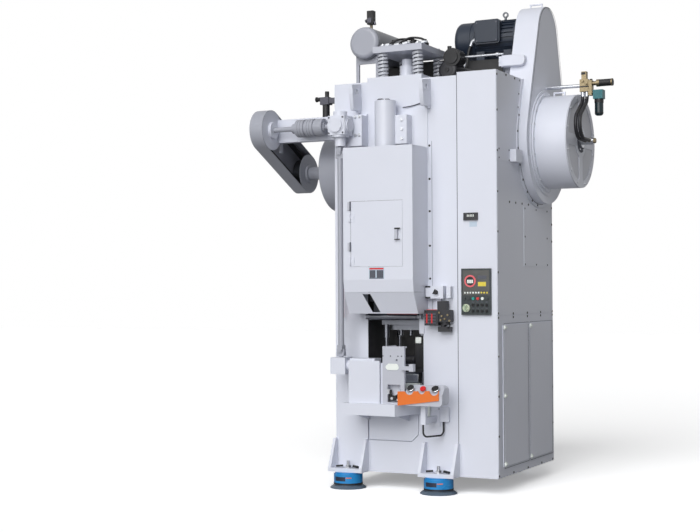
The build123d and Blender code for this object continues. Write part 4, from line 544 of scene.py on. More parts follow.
def dress_lugs():
    """Lower plates of the two lifting lugs, below their holes."""
    lower = ((0.002, 0.13), (-0.186, 0.13), (-0.168, 0.25), (-0.15, 0.272), (0.002, 0.262))
    upper = ((-0.125, 0.13), (-0.128, 0.072), (-0.1895, 0.072), (-0.186, 0.13))
    for name, x in (("lug_plate_left", AXIS - 0.348), ("lug_plate_right", AXIS + 0.348)):

        def build(bm):
            for outline in (lower, upper):
                faces = [
                    [(face_x, FRONT + out, SHOULDER - down) for out, down in outline]
                    for face_x in (x - 0.018, x + 0.018)
                ]
                add_prism(bm, *faces)

        piece(name, build, ENAMEL, bevel=0.003)


def dress_drum_end():
    """Bolts on the drum's end plate and the centre cover behind the hoses."""
    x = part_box("drum_end_plate")[1].x
    screws("drum_end_bolts", around(WHEEL, 0.402, range(15, 375, 30), x), RIGHT, 0.011, 0.005, PLATED)
    paint_places("drum_end_plate", PLATE_AND_HIGHLIGHT, lambda p: 0.002 < x - p.x < 0.03)
    solids("drum_centre_ring", [((x, *WHEEL), (x + 0.006, *WHEEL), 0.105)], SHADOW, sides=48)
    screws("drum_centre_bolts", around(WHEEL, 0.088, SIX_TURNS, x + 0.006), RIGHT, 0.009, 0.006, PLATED)


def dress_union():
    """Bright nut on the union, brass elbows where the hoses reach it, and ferrules below them."""
    low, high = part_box("rotary_union")
    y, z = WHEEL
    nuts = [((high.x, y, z), (high.x + 0.018, y, z), 0.024)]
    nuts += [((x, low.y - 0.006, z), (x, low.y + 0.014, z), 0.0205) for x in (UNION_X, UNION_X + 0.04)]
    solids("union_nuts", nuts, BRASS, bevel=0.001, sides=6)
    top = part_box("clutch_hoses")[1].z
    ferrules = [((x, y, top - 0.045), (x, y, top), 0.0195) for x in (HOSE_X, HOSE_X + 0.04)]
    solids("hose_ferrules", ferrules, PLATED, bevel=0.001)


def dress_air_units():
    """Brass valve, black muffler, teal filter with a smoked bowl, silver pipe; dark unit at the left."""
    low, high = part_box("air_units")
    end = high.x - MUFFLER_LENGTH
    top = high.z
    unit = SHOULDER - 0.14
    for material, test in (
        (PLATED, lambda p: SIDE < p.x < end - 0.114),
        (BLACK, lambda p: p.x > end + 0.045 and p.z > top - 0.155),
        (FILTER, lambda p: p.x > end + 0.012 and top - 0.27 < p.z < top - 0.175),
        (SMOKE, lambda p: p.x > end + 0.015 and p.z < top - 0.266),
        (BLACK, lambda p: p.x < LEFT and abs(p.z - unit) > 0.0345),
        (SCREW, lambda p: p.x < LEFT and abs(p.z - unit) < 0.0355),
    ):
        paint_places("air_units", material, test)
    y, z = low.y + 0.035, unit + 0.02
    spans = ((0.01, -0.05, 0.02), (-0.045, -0.058, 0.024))
    solids("left_muffler", [((low.x + a, y, z), (low.x + b, y, z), radius) for a, b, radius in spans], BLACK)
    y, z = WHEEL[0], top - 0.115
    spans = ((end + 0.04, end + 0.07), (high.x - 0.014, high.x - 0.002))
    solids("muffler_core", [((a, y, z), (b, y, z), 0.0345) for a, b in spans], BRASS)
    x = end + 0.06
    spans = ((0.3, 0.27, 0.0425), (0.398, 0.388, 0.0405))
    solids("bowl_bands", [((x, y, top - a), (x, y, top - b), radius) for a, b, radius in spans], BLACK)
    x = end - 0.112
    bits = [
        ((x - 0.002, y - 0.041, top - 0.15), (x + 0.082, y + 0.041, top - 0.138)),
        ((x + 0.01, y - 0.029, top - 0.03), (x + 0.05, y - 0.025, top - 0.008)),
        ((x + 0.088, y, top - 0.087), (x + 0.108, y, top - 0.087), 0.016),
    ]
    solids("valve_dark_bits", bits, BLACK, bevel=0.001)
    spans = ((end - 0.085, top - 0.09, 0.014), (end - 0.05, top - 0.118, 0.012))
    plugs = [((x, y - 0.055, z), (x, y - 0.038, z), radius) for x, z, radius in spans]
    solids("valve_plugs", plugs, BRASS, bevel=0.001)


def dress_cover():
    """Flange screws and edge, ends of the handle, red strip of the skirt, door joint and hinges."""
    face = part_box("slide_cover")[0].y + 0.0155
    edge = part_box("slide_cover")[1].x
    places = [(edge - 0.02, FRONT - 0.004, z) for z in (3.1, 2.8, 2.51, 2.2, 1.905)]
    screws("cover_flange_screws", places, TO_FRONT, 0.01, 0.003, BLACK)
    flange = ((edge - 0.0008, FRONT - 0.0046, 1.6), (edge + 0.003, FRONT - 0.0002, 3.14))
    solids("cover_flange_edge", [flange], GREY_AND_SHADE)
    low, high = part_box("door_handle")
    paint_places("door_handle", PLATE_AND_HIGHLIGHT)
    tall = high.z - low.z
    ends = [
        ((low.x + 0.004, low.y - 0.001, low.z + tall * a), (high.x - 0.004, low.y + 0.004, low.z + tall * b))
        for a, b in ((0.86, 0.99), (0.01, 0.09))
    ]
    solids("handle_ends", ends, BLACK, "door_handle", bevel=0.001)
    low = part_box("cover_skirt")[0]
    strip = ((-0.217, low.y + 0.11, low.z - 0.004), (0.08, low.y + 0.122, low.z + 0.004))
    solids("skirt_red_strip", [strip], RED)
    low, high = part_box("cover_door")
    left = high.x - 0.508
    gap = 0.0022
    joints = [
        ((left - gap, face - 0.0006, low.z - gap), (left, face, high.z + gap)),
        ((left - gap, face - 0.0006, high.z), (high.x - 0.08, face, high.z + gap)),
    ]
    solids("door_joint", joints, SHADOW)
    hinge_zs = (2.52, 2.155)
    hinges = [((left - 0.03, face - 0.008, z), (left + 0.004, face, z + 0.075)) for z in hinge_zs]
    solids("door_hinge_plates", hinges, PLATE_AND_HIGHLIGHT, bevel=0.002)
    x, y = left - 0.002, face - 0.009
    solids("door_hinge_pins", [((x, y, z - 0.004), (x, y, z + 0.079), 0.006) for z in hinge_zs], SHADOW)


def dress_sign():
    """Bare sign plate: a red head strip, two grey fields and a dark foot, with no words."""
    face = FRONT - 0.335
    left, right, bottom, top = -0.33, -0.178, 1.905, 2.008
    solids("sign_plate", [((left, face - 0.001, bottom), (right, face, top))], PALE_BLUE)
    fields = [(left + 0.008, bottom + 0.01, left + 0.066, top - 0.026)]
    fields += [(left + 0.078, bottom + 0.01, right - 0.008, top - 0.026)]
    for name, spans, material in (
        ("sign_head", [(left + 0.006, top - 0.02, right - 0.006, top - 0.006)], RED),
        ("sign_fields", fields, SHADOW),
        ("sign_foot", [(left + 0.006, bottom + 0.002, right - 0.006, bottom + 0.009)], LABEL),
    ):
        solids(name, [((a, face - 0.0016, b), (c, face - 0.001, d)) for a, b, c, d in spans], material)


def dress_cylinder():
    """Cap rings and fittings of the counterbalance cylinder, its cable and the bolts on its bracket."""
    low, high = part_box("balance_cylinder")
    x, y = low.x + CYLINDER_RADIUS, low.y + CYLINDER_RADIUS
    rings = [((x, y, high.z - down), (x, y, high.z - down + 0.006), 0.0995) for down in (0.112, 0.022)]
    solids("cylinder_rings", rings, ENAMEL, sides=48)
    paint_places("balance_cylinder", SCREW, lambda p: p.z > high.z - 0.0105)
    top = high.z - 0.012
    fittings = [
        ((x - 0.06, y - 0.03, top), (x - 0.02, y + 0.01, top + 0.022)),
        ((x + 0.002, y - 0.02, top), (x + 0.038, y + 0.016, top + 0.018)),
    ]
    solids("cylinder_fittings", fittings, BLACK, bevel=0.002)
    course = ((-0.13, 0.03, 3.455), (-0.05, 0.008, 3.465), (0.05, 0.007, 3.49), (0.105, 0.007, 3.505))
    tube("cylinder_cable", [(x, FRONT - out, z) for x, out, z in course], 0.005, SHADOW)
    paint_places("balance_cylinder", PLATED, lambda p: p.y < FRONT - 0.1205 and p.x > x + 0.1)


def dress_gearbox():
    """Cover caps, cap screws and mount bolts of the upper gearbox, and the sensor cable."""
    gear_x, gear_y, gear_z = GEARBOX
    front, right = gear_y - GEAR_HALF, gear_x + GEAR_HALF
    caps = [((gear_x, front - 0.016, gear_z), TO_FRONT), ((right + 0.012, gear_y, gear_z), RIGHT)]

    def lids(bm):
        for place, way in caps:
            place, way = Vector(place), Vector(way)
            add_rod(bm, place - way * 0.004, place + way * 0.004, 0.066, sides=48)
            side = Vector((0, 0, 1))
            across = way.cross(side)
            for turn in SIX_TURNS:
                angle = math.radians(turn + 30)
                out = (side * math.sin(angle) + across * math.cos(angle)) * 0.056
                add_hex(bm, place + out + way * 0.004, way, 0.0065, 0.004)

    piece("gearbox_lids", lids, ENAMEL, bevel=0.0015)
    covers = [
        ((gear_x, front + 0.004, gear_z), (gear_x, front - 0.005, gear_z), 0.078),
        ((right - 0.004, gear_y, gear_z), (right + 0.006, gear_y, gear_z), 0.078),
    ]
    solids("gearbox_covers", covers, ENAMEL, sides=64)
    reach = (-0.07, 0.07)
    spots = [(gear_x + dx, gear_z + dz) for dx in reach for dz in reach]
    solids("gearbox_screws", [((x, front, z), (x, front - 0.006, z), 0.009) for x, z in spots], SCREW, sides=6)

    def mount(bm):
        for x in (-0.56, -0.52):
            for z in (3.385, 3.217):
                add_rod(bm, (x, MOUNT_FACE, z), (x, MOUNT_FACE - 0.003, z), 0.016)
                add_hex(bm, (x, MOUNT_FACE - 0.003, z), TO_FRONT, 0.012, 0.01)

    piece("mount_bolts", mount, PLATED, bevel=0.001)
    tube("sensor_cable", [(-0.735, FRONT - 0.045, z) for z in (3.05, 2.7, 2.3, 1.9, 1.55)], 0.006, RED)


def dress_transfer_drive():
    """Bolts on the front pulley's hub, drums and grooves of the torque limiter, grey shaft, and painted shade
    on the side drum.
    """
    y, z = GEARBOX[1:]
    hub_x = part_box("transfer_front_shaft")[0].x + 0.07
    turns = [math.radians(turn) for turn in SIX_TURNS]
    places = [(y + 0.052 * math.cos(turn), z + 0.052 * math.sin(turn)) for turn in turns]
    bolts = [((hub_x, *place), (hub_x + 0.008, *place), 0.01) for place in places]
    solids("pulley_bolts", bolts, SCREW, "transfer_front", sides=6)
    end_x = GEARBOX[0] - GEAR_HALF - 0.06
    spans = [(0.096, 0.084, 0.077)] + [(x, 0.004, 0.0812) for x in (0.288, 0.21, 0.19, 0.112)]
    grooves = [(x, 0.003, 0.0806) for x in (0.262, 0.236, 0.164, 0.138)]
    for name, rings, material in (("limiter_drums", spans, GREY_AND_SHADE), ("limiter_grooves", grooves, SHADOW)):
        rings = [((end_x - x, y, z), (end_x - x + wide, y, z), radius) for x, wide, radius in rings]
        solids(name, rings, material, "transfer_front", sides=48)
    paint_places("cardan_shaft", GREY_AND_SHADE)
    # Painted shade: the side drum is drawn in the darker grey, as it lies in shade.
    paint_places("side_drum", GREY_AND_SHADE)


def dress_motor():
    """Motor: cover plate of its terminal box, conduit, fan grille and bright hook."""
    low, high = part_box("terminal_box")
    paint_places("motor", PAINTS["cast_wheel"], lambda p: p.z > MOTOR[1] + 0.2)
    face = low.y - 0.006
    lid = ((low.x + 0.014, face, low.z + 0.014), (high.x - 0.014, low.y, high.z - 0.014))
    solids("terminal_lid", [lid], PAINTS["motor_paint"], bevel=0.004)
    corners = [(x, face, z) for x in (low.x + 0.03, high.x - 0.03) for z in (low.z + 0.03, high.z - 0.03)]
    screws("terminal_screws", corners, TO_FRONT, 0.006, 0.003)
    x, y = low.x - 0.02, low.y + 0.03
    elbow = [
        ((low.x + 0.004, y, 4.2), (x - 0.012, y, 4.178), 0.017),
        ((x - 0.01, y, 4.182), (x - 0.028, y, 4.14), 0.016),
    ]
    solids("conduit_elbow", elbow, PLATED)
    course = ((0.026, 0, 4.145), (0.05, 0.01, 4.08), (0.045, 0.04, 3.96), (0.06, 0.09, 3.86))
    course += ((0.055, 0.13, 3.745),)
    tube("motor_conduit", [(x - dx, y - dy, z) for dx, dy, z in course], 0.014, BLACK)

    def grille(bm):
        for radius in (0.04, 0.08, 0.12, 0.155):
            add_ring(bm, (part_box("motor")[0].x + 0.002, *MOTOR), RIGHT, radius, 0.002, 48, 6)

    piece("fan_grille", grille, BLACK)


def dress_tank():
    """Seams of the air tank's ends, its pressure switch in black on brass, and painted shade on its body."""
    low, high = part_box("air_tank")
    x, top = (low.x + high.x) / 2, high.z
    paint_places("air_tank", BRASS, lambda p: p.z > TANK_Z + 0.153)
    paint_places("air_tank", BLACK, lambda p: p.z > TANK_Z + 0.172)

    def seams(bm):
        for y in (low.y + 0.048, high.y - 0.048):
            add_ring(bm, (x, y, TANK_Z), (0, 1, 0), 0.1515, 0.0025, 64, 6)

    piece("tank_seams", seams, GREY_AND_SHADE)
    y = low.y + 0.18
    plugs = [
        ((x - 0.036, y, top - 0.085), (x - 0.062, y, top - 0.095), 0.016),
        ((x + 0.03, y, top - 0.105), (x + 0.04, y, top - 0.135), 0.012),
        ((x - 0.026, y - 0.04, top - 0.118), (x + 0.018, y - 0.03, top - 0.07)),
    ]
    solids("switch_plugs", plugs, SCREW, bevel=0.001)

    def on_body(p):
        return TANK_Z - 0.16 < p.z < TANK_Z + 0.1519 and low.y + 0.03 < p.y < high.y - 0.03

    # Painted shade: the tank's body is drawn darker grey than its ends.
    paint_places("air_tank", TANK_BODY_SHADE, on_body)


def dress_knockout():
    """Valves, couplings and hoses on the knockout plate, with its paint and that of the pins."""
    low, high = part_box("knockout_plate")
    top = high.z - 0.026
    valves = []
    for dx, dy in ((0.1, 0.16), (0.2, 0.22), (0.3, 0.15), (0.38, 0.26)):
        x, y = low.x + dx, low.y + dy
        valves.append(((x, y, top), (x + 0.055, y + 0.06, top + 0.055)))
        valves.append(((x + 0.028, y + 0.03, top + 0.055), (x + 0.028, y + 0.03, top + 0.085), 0.016))
    solids("knockout_valves", valves, BLACK, "knockout", bevel=0.003)
    paint_places("knockout_plate", PLATE_AND_HIGHLIGHT)
    centre = middle("knockout_pins")
    paint_places("knockout_pins", ENAMEL, lambda p: abs(p.x - centre.x) < 0.13 and abs(p.y - centre.y) < 0.19)

    def couplings(bm):
        for dx, dy in ((0.08, 0.1), (0.17, 0.12), (0.27, 0.09), (0.43, 0.12)):
            spot = Vector((low.x + dx, low.y + dy, top + 0.022))
            joint = spot + Vector((0.05, 0.0, 0.006))
            add_rod(bm, spot, joint, 0.017, sides=6)
            add_rod(bm, joint, spot + Vector((0.075, 0, 0.008)), 0.011)

    piece("knockout_couplings", couplings, PLATED, "knockout", bevel=0.001)
    for i, (ax, ay, bx, by) in enumerate(((0.13, 0.1, 0.36, 0.3), (0.22, 0.12, 0.45, 0.2))):
        course = ((ax, ay, 0.028), (ax + 0.06, ay - 0.02, 0.06), ((ax + bx) / 2, (ay + by) / 2, 0.09))
        course += ((bx, by, 0.07), (bx + 0.01, by + 0.02, 0.03))
        points = [(low.x + x, low.y + y, top + z) for x, y, z in course]
        tube("knockout_hose_%d" % (i + 1), points, 0.01, BLACK, "knockout")


def dress_crown():
    """Lubrication pump's cap, motor and hoses, dark valve blocks and lines, and a white box."""
    low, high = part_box("lube_pump")
    x, y = middle("lube_pump").xy
    crown = low.z
    paint_places("lube_pump", PLATED, lambda p: p.z > high.z - 0.034)

    def cap(bm):
        z = high.z - 0.115
        add_ring(bm, (x, low.y + 0.004, z), (0, 1, 0), 0.055, 0.005, 40, 8)
        add_rod(bm, (x, low.y - 0.01, z), (x, low.y + 0.004, z), 0.022)

    piece("pump_cap", cap, BLACK)
    for i, (dx, dy) in enumerate(((0.19, -0.1), (0.23, -0.02))):
        course = [
            (high.x - 0.02, y + dy * 0.4, high.z - 0.12 - 0.04 * i),
            (high.x + 0.05, y + dy, high.z - 0.11),
            (high.x + dx - 0.02, y + dy, high.z - 0.15),
            (high.x + dx, y + dy + 0.03, crown + 0.08),
            (high.x + dx, y + dy + 0.03, crown - 0.03 + 0.035 * i),
        ]
        tube("crown_hose_%d" % (i + 1), course, 0.011, BLACK)
    motor = [
        ((x + 0.05, low.y - 0.004, high.z), (x + 0.05, low.y + 0.15, high.z), 0.086),
        ((x + 0.05, low.y - 0.016, high.z), (x + 0.05, low.y, high.z), 0.06),
        ((x + 0.01, low.y + 0.04, high.z + 0.07), (x + 0.01, low.y + 0.04, high.z + 0.11), 0.02),
    ]
    solids("pump_motor", motor, BLACK, sides=48)
    blocks = (
        (-0.72, 0.23, -0.55, 0.31, 0.23),
        (-0.52, 0.2, -0.36, 0.3, 0.29),
        (-0.35, 0.21, -0.07, 0.31, 0.26),
        (-0.06, 0.13, 0.1, 0.23, 0.19),
        (-0.6, 0.14, -0.52, 0.2, 0.12),
        (-0.12, 0.15, -0.06, 0.22, 0.11),
    )
    blocks = [((ax, ay, crown), (bx, by, crown + tall)) for ax, ay, bx, by, tall in blocks]
    solids("crown_valve_blocks", blocks, BLACK, bevel=0.004)
    lines = ((-0.62, 0.16, -0.14, 0.2), (-0.5, 0.14, -0.05, 0.16), (0.02, 0.16, 0.16, 0.06))
    for i, (ax, ay, bx, by) in enumerate(lines):
        course = ((ax, ay, 0.1), (ax + 0.05, ay - 0.04, 0.04), ((ax + bx) / 2, (ay + by) / 2 - 0.03, 0.022))
        course += ((bx - 0.05, by - 0.04, 0.04), (bx, by, 0.1))
        tube("crown_line_%d" % (i + 1), [(x, y, crown + z) for x, y, z in course], 0.012, BLACK)
    box = ((0.3, -0.06, SHOULDER), (0.352, 0.02, SHOULDER + 0.055))
    solids("crown_junction", [box], WHITE, bevel=0.004)


def dress_sleeve():
    """Yoke at the free end of the tensioner's sleeve, its rod, and the shade under the motor."""
    x, (y, z) = SLEEVE_X, SLEEVE_YZ
    yoke = [
        ((x - 0.03, y + 0.01, z - 0.046), (x, y + 0.022, z + 0.046)),
        ((x - 0.03, y + 0.072, z - 0.046), (x, y + 0.084, z + 0.046)),
        ((x - 0.018, y + 0.004, z), (x - 0.018, y + 0.09, z), 0.012),
    ]
    solids("sleeve_yoke", yoke, ENAMEL, bevel=0.002)
    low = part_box("motor_base")[0]
    spans = ((low.x + 0.02, x + 0.01, 0.011), (low.x + 0.06, low.x + 0.084, 0.02), (x - 0.06, x - 0.036, 0.02))
    rod = [((a, y + 0.03, z + 0.07), (b, y + 0.03, z + 0.07), radius) for a, b, radius in spans]
    solids("tension_rod", rod, PLATED)
    shade_box = ((low.x + 0.12, y + 0.09, low.z + 0.01), (x - 0.02, y + 0.1, z + 0.04))
    solids("motor_under_shade", [shade_box], BLACK)


def dress_panel():
    """Operator's panel: smoked window with a red dial, lamps, coloured buttons and a yellow plate."""
    low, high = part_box("control_panel")
    face = FRONT - 0.026
    floor = face + 0.003

    def at(across, down):
        return low.x + (high.x - low.x) * across, high.z - (high.z - low.z) * down

    for name, corners, material, depth in (
        ("screen_window", (0.045, 0.036, 0.955, 0.571), SCREEN, 0.0004),
        ("screen_yellow", (0.573, 0.29, 0.844, 0.383), YELLOW, 0.001),
        ("screen_label", (0.557, 0.155, 0.859, 0.225), SHADOW, 0.0008),
    ):
        (left, top), (right, bottom) = at(*corners[:2]), at(*corners[2:])
        solids(name, [((left, floor - depth, bottom), (right, floor, top))], material)
    dial = (low.x + 0.085, high.z - 0.111)
    spots = [(ROSE, *dial, 0.0545, floor), (BLACK, *dial, 0.0399, floor)]
    for i, material in ((2, TEAL), (3, RED), (4, WHITE)):
        spots.append((material, low.x + 0.03 + 0.043 * i, low.z + 0.145, 0.0135, face - 0.0005))
    for material, x, z, reach, depth in spots:
        paint_places("control_panel", material, lambda p: math.hypot(p.x - x, p.z - z) < reach and p.y < depth)
    x, z = dial
    starts = (x - 0.028, x - 0.008, x + 0.012)
    marks = [((start, face - 0.0005, z - 0.018), (start + 0.016, face + 0.001, z + 0.012)) for start in starts]
    solids("dial_marks", marks, WHITE)
    spots = [at(0.125 + 0.094 * i, 0.52) for i in range(9)]
    lamps = [((x - 0.007, floor - 0.002, z - 0.007), (x + 0.007, floor, z + 0.007)) for x, z in spots]
    solids("lamps_white", lamps[:6], WHITE)
    solids("lamps_yellow", lamps[6:], YELLOW)
    places = [(row, column) for row in (0, 1) for column in range(4)]
    knobs = [(low.x + 0.112 + 0.043 * column, low.z + 0.035 + 0.053 * row) for row, column in places]
    grips = []
    for x, z in knobs:
        grips.append(((x, face - 0.009, z), (x, face - 0.015, z), 0.0115))
        grips.append(((x - 0.003, face - 0.021, z - 0.011), (x + 0.003, face - 0.014, z + 0.011)))
    solids("knob_grips", grips, BLACK, bevel=0.0008)
    strips = [((x - 0.012, face - 0.0006, z + 0.023), (x + 0.012, face, z + 0.029)) for x, z in knobs]
    solids("label_strips", strips, SHADOW)


def dress_selector():
    """Green pointer and grip on the cream selector."""
    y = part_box("selector_knob")[0].y
    x, z = middle("selector_knob").xz

    def grip(bm):
        add_ring(bm, (x, y + 0.001, z), (0, 1, 0), 0.027, 0.0025, 40, 6)
        add_box(bm, (x - 0.005, y - 0.0015, z - 0.02), (x + 0.005, y + 0.002, z + 0.02))

    piece("selector_marks", grip, SELECTOR_MARK, "selector")


def dress_counter():
    """Light digit window of the counter and a bare plate below it."""
    low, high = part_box("counter")
    y, z = low.y, low.z
    starts = [low.x + 0.034 + 0.014 * i for i in range(5)]
    digits = [((x, y + 0.003, z + 0.03), (x + 0.007, y + 0.004, high.z - 0.016)) for x in starts]
    solids("counter_digits", digits, WHITE)
    plate = ((low.x + 0.052, FRONT - 0.0015, z - 0.058), (high.x - 0.01, FRONT, z - 0.012))
    solids("counter_plate", [plate], PALE_BLUE)


def dress_valves():
    """Light junction box with a black triangular knob, black valve banks with red strips, brass ports."""
    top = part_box("valve_group")[1].z
    bottom = top - 0.112
    paint_places("valve_group", ENAMEL, lambda p: p.z > bottom - 0.002)
    paint_places("valve_group", ENAMEL, lambda p: p.y > FRONT - 0.012 and p.x < VALVE_X)
    paint_places("valve_group", ENAMEL, lambda p: VALVE_X + 0.03 < p.x < VALVE_X + 0.1 and p.z > 1.63)
    face = FRONT - 0.08
    x, y = VALVE_X, FRONT - 0.11
    heights = (top - 0.014, bottom + 0.001)
    cleats = [((x - 0.038, face - 0.003, z), (x + 0.01, face + 0.03, z + 0.014)) for z in heights]
    solids("box_cleats", cleats, BLACK, bevel=0.001)

    def knob(bm):
        centre = Vector((x + 0.066, face, bottom + 0.056))
        add_rod(bm, centre, centre + Vector((0, -0.012, 0)), 0.02)
        turns = [2.0944 * i for i in range(3)]
        outlines = [
            [centre + Vector((0.031 * math.sin(turn), side, 0.031 * math.cos(turn))) for turn in turns]
            for side in (-0.018, -0.034)
        ]
        add_prism(bm, *outlines)
        add_rod(bm, centre + Vector((0, -0.01, 0)), centre + Vector((0, -0.02, 0)), 0.012)

    piece("box_knob", knob, BLACK, bevel=0.004)
    starts = (x - 0.018, x + 0.03)
    strips = [((start, y - 0.004, VALVE_Z + 0.022), (start + 0.012, y, VALVE_Z + 0.104)) for start in starts]
    strips.append(((x - 0.024, y + 0.02, VALVE_Z + 0.138), (x + 0.07, y + 0.034, VALVE_Z + 0.143)))
    solids("valve_red_strips", strips, RED)
    columns = (x - 0.032, x - 0.002, x + 0.016, x + 0.046, x + 0.062)
    starts = [(column, VALVE_Z + 0.016 + 0.026 * i) for column in columns for i in range(4)]
    coils = [((start, y - 0.006, z), (start + 0.011, y, z + 0.018)) for start, z in starts]
    solids("valve_coils", coils, SHADOW, bevel=0.001)
    ports = []
    spots = ((0.105, 0.115), (0.13, 0.085), (0.16, 0.06), (0.185, 0.095), (0.12, 0.05), (0.205, 0.045))
    for i, (dx, dz) in enumerate(spots):
        spot = Vector((x + dx, FRONT - 0.1, VALVE_Z + dz))
        ports.append((spot, spot + Vector((0, -0.01 - 0.003 * (i % 3), 0)), 0.009))
    solids("valve_ports", ports, BRASS, sides=6)
    course = ((0.19, 0.11, 0.05), (0.215, 0.112, 0.02), (0.19, 0.085, -0.02), (0.16, 0.07, -0.03))
    tube("valve_air_line", [(x + dx, FRONT - out, VALVE_Z + dz) for dx, out, dz in course], 0.005, BLACK)
    x += 0.15
    bracket = [
        ((x, FRONT - 0.05, bottom + 0.004), (x + 0.045, FRONT - 0.046, top - 0.004)),
        ((x + 0.041, FRONT - 0.05, bottom + 0.004), (x + 0.045, FRONT, top - 0.004)),
    ]
    solids("valve_bracket", bracket, ENAMEL, bevel=0.001)


def dress_console():
    """Rings round the console's buttons, paint of its bracket, conduits and cover box below it."""
    way = Vector((0, -1, 1)).normalized()
    for name, node, material in (
        ("palm_left_ring", "palm_left", CHROME),
        ("palm_right_ring", "palm_right", CHROME),
        ("stop_ring", "stop_button", RED),
    ):
        low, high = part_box(node)
        centre, radius = middle(node) + way * 0.014, (high.x - low.x) / 2 * 0.97
        piece(name, lambda bm: add_ring(bm, centre, way, radius, 0.0045, 48, 8), material, node)
    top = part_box("two_hand_bracket")[1].z
    paint_places("two_hand_bracket", PLATE_AND_HIGHLIGHT)
    paint_places("two_hand_bracket", ENAMEL, lambda p: p.z < top - 0.178)
    conduits = [
        ((0.097, FRONT - 0.03, 0.6), (0.118, FRONT - 0.006, 0.8)),
        ((0.048, FRONT - 0.06, 0.7), (0.06, FRONT - 0.03, 0.79)),
    ]
    solids("console_conduits", conduits, WHITE, bevel=0.004)
    solids("cable_cover", [((0.177, FRONT - 0.01, 0.619), (0.226, FRONT, 0.754))], ENAMEL, bevel=0.003)
    screws("cable_cover_screws", [(0.201, FRONT - 0.01, z) for z in (0.632, 0.741)], TO_FRONT, 0.005, 0.002)


def dress_housing():
    """Screws, latch grip and small mechanism of the transfer unit's front plates."""
    low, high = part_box("transfer_housing")
    y = PLATE_FACE
    paint_places("transfer_housing", PLATE_AND_HIGHLIGHT, lambda p: p.y < y + 0.02 and p.x > low.x + 0.3)
    paint_places(
        "transfer_housing", WHITE, lambda p: p.y < y - 0.0045 and -0.21 < p.x < -0.06 and 1.06 < p.z < 1.14
    )
    row = [(x, y, high.z - 0.085) for x in (-0.212, -0.138, -0.065, -0.03)]
    screws("housing_screws", row, TO_FRONT, 0.006, 0.003)
    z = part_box("transfer_table")[1].z
    mechanism = [
        ((-0.165, y + 0.012, z + 0.03), (-0.095, y + 0.06, z + 0.075)),
        ((-0.15, y + 0.02, z + 0.075), (-0.15, y + 0.02, z + 0.125), 0.014),
        ((-0.11, y + 0.03, z + 0.06), (-0.06, y + 0.03, z + 0.095), 0.01),
        ((-0.085, y + 0.012, z + 0.02), (-0.055, y + 0.05, z + 0.06)),
    ]
    solids("housing_mechanism", mechanism, BLACK, bevel=0.002)
    bits = [
        ((-0.128, y + 0.01, z + 0.05), (-0.128, y - 0.004, z + 0.05), 0.013),
        ((-0.072, y + 0.01, z + 0.04), (-0.072, y - 0.004, z + 0.04), 0.009),
        ((-0.17, y - 0.002, z + 0.088), (-0.15, y + 0.02, z + 0.13)),
    ]
    solids("housing_bits", bits, PLATED, bevel=0.001)


def dress_die_space():
    """Painted shade on the inside of the frame, feed gear in the die space, a steel block and a white block
    below it.
    """

    def inside(p):
        return -0.52 < p.x < 0.06 and FRONT + 0.03 < p.y < BACK - 0.012 and 0.6 < p.z < 2.75

    # Painted shade: the inner faces of the frame's window are drawn dark.
    paint_places("frame", INSIDE_SHADE, inside)
    paint_places("die_lamp", PAINTS["tool_steel"])
    unit = [((-0.058, -0.61, 1.1), (0.044, -0.52, 1.388)), ((-0.17, -0.6, 1.06), (0.044, -0.53, 1.12))]
    solids("feed_unit", unit, BLACK, bevel=0.004)
    spans = ((-0.17, -0.058, 0.038), (-0.15, -0.142, 0.043), (-0.095, -0.087, 0.043))
    solids("feed_rolls", [((a, -0.59, 1.17), (b, -0.59, 1.17), radius) for a, b, radius in spans], INSIDE_SHADE)
    solids("feed_cap", [((-0.045, -0.632, 1.321), (0.013, -0.61, 1.377))], WHITE, bevel=0.006)
    solids("guide_block", [((-0.165, -0.59, 0.968), (-0.035, -0.52, 1.038))], PLATED, bevel=0.003)
    solids("strip_tray", [((-0.15, -0.62, 0.905), (-0.01, -0.56, 0.958))], WHITE, bevel=0.003)


def dress_feet():
    """Washers on the foot plates, and dark hold-down bars beside them."""
    low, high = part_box("levelling_bolts")
    z = FOOT_TOP
    washers, bars = [], []
    for x in (low.x + 0.027, high.x - 0.027):
        for y, way in ((low.y + 0.0234, 1), (high.y - 0.0234, -1)):
            washers.append(((x, y, z), (x, y, z + 0.006), 0.052))
            bars.append(((x - 0.11, y - 0.03 * way, z + 0.012), (x - 0.052, y, z + 0.016), 0.009))
            bars.append(((x + 0.052, y, z + 0.016), (x + 0.118, y - 0.034 * way, z + 0.012), 0.011))
    solids("foot_washers", washers, PLATED, bevel=0.001, sides=32)
    solids("foot_bars", bars, BLACK, bevel=0.001)


def dress_isolators():
    """Dark bands of the isolator drums and a bare plate with an orange line on each."""
    low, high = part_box("isolator_drums")
    reach = DRUM_RADIUS
    drums = [(x, y) for x in (low.x + reach, high.x - reach) for y in (low.y + reach, high.y - reach)]
    bands = [((x, y, 0.0345), (x, y, 0.05), reach + 0.0015) for x, y in drums]
    solids("isolator_bands", bands, BLACK, sides=64)

    def arcs(bm, bottom, top, start, end):
        for x, y in drums:
            rows = []
            for i in range(13):
                angle = math.radians(start + (end - start) * i / 12)
                way = Vector((math.cos(angle), math.sin(angle), 0))
                spots = ((0.131, bottom), (0.1328, bottom), (0.1328, top), (0.131, top))
                rows.append([bm.verts.new(Vector((x, y, z)) + way * radius) for radius, z in spots])
            for a, b in zip(rows, rows[1:]):
                for j in range(4):
                    bm.faces.new((a[j], a[(j + 1) % 4], b[(j + 1) % 4], b[j]))
            bm.faces.new(rows[0])
            bm.faces.new(rows[-1])

    piece("isolator_plates", lambda bm: arcs(bm, 0.07, 0.108, -125.0, -75.0), LABEL)
    piece("isolator_plate_lines", lambda bm: arcs(bm, 0.096, 0.104, -73.0, -50.0), PAINTS["orange_paint"])


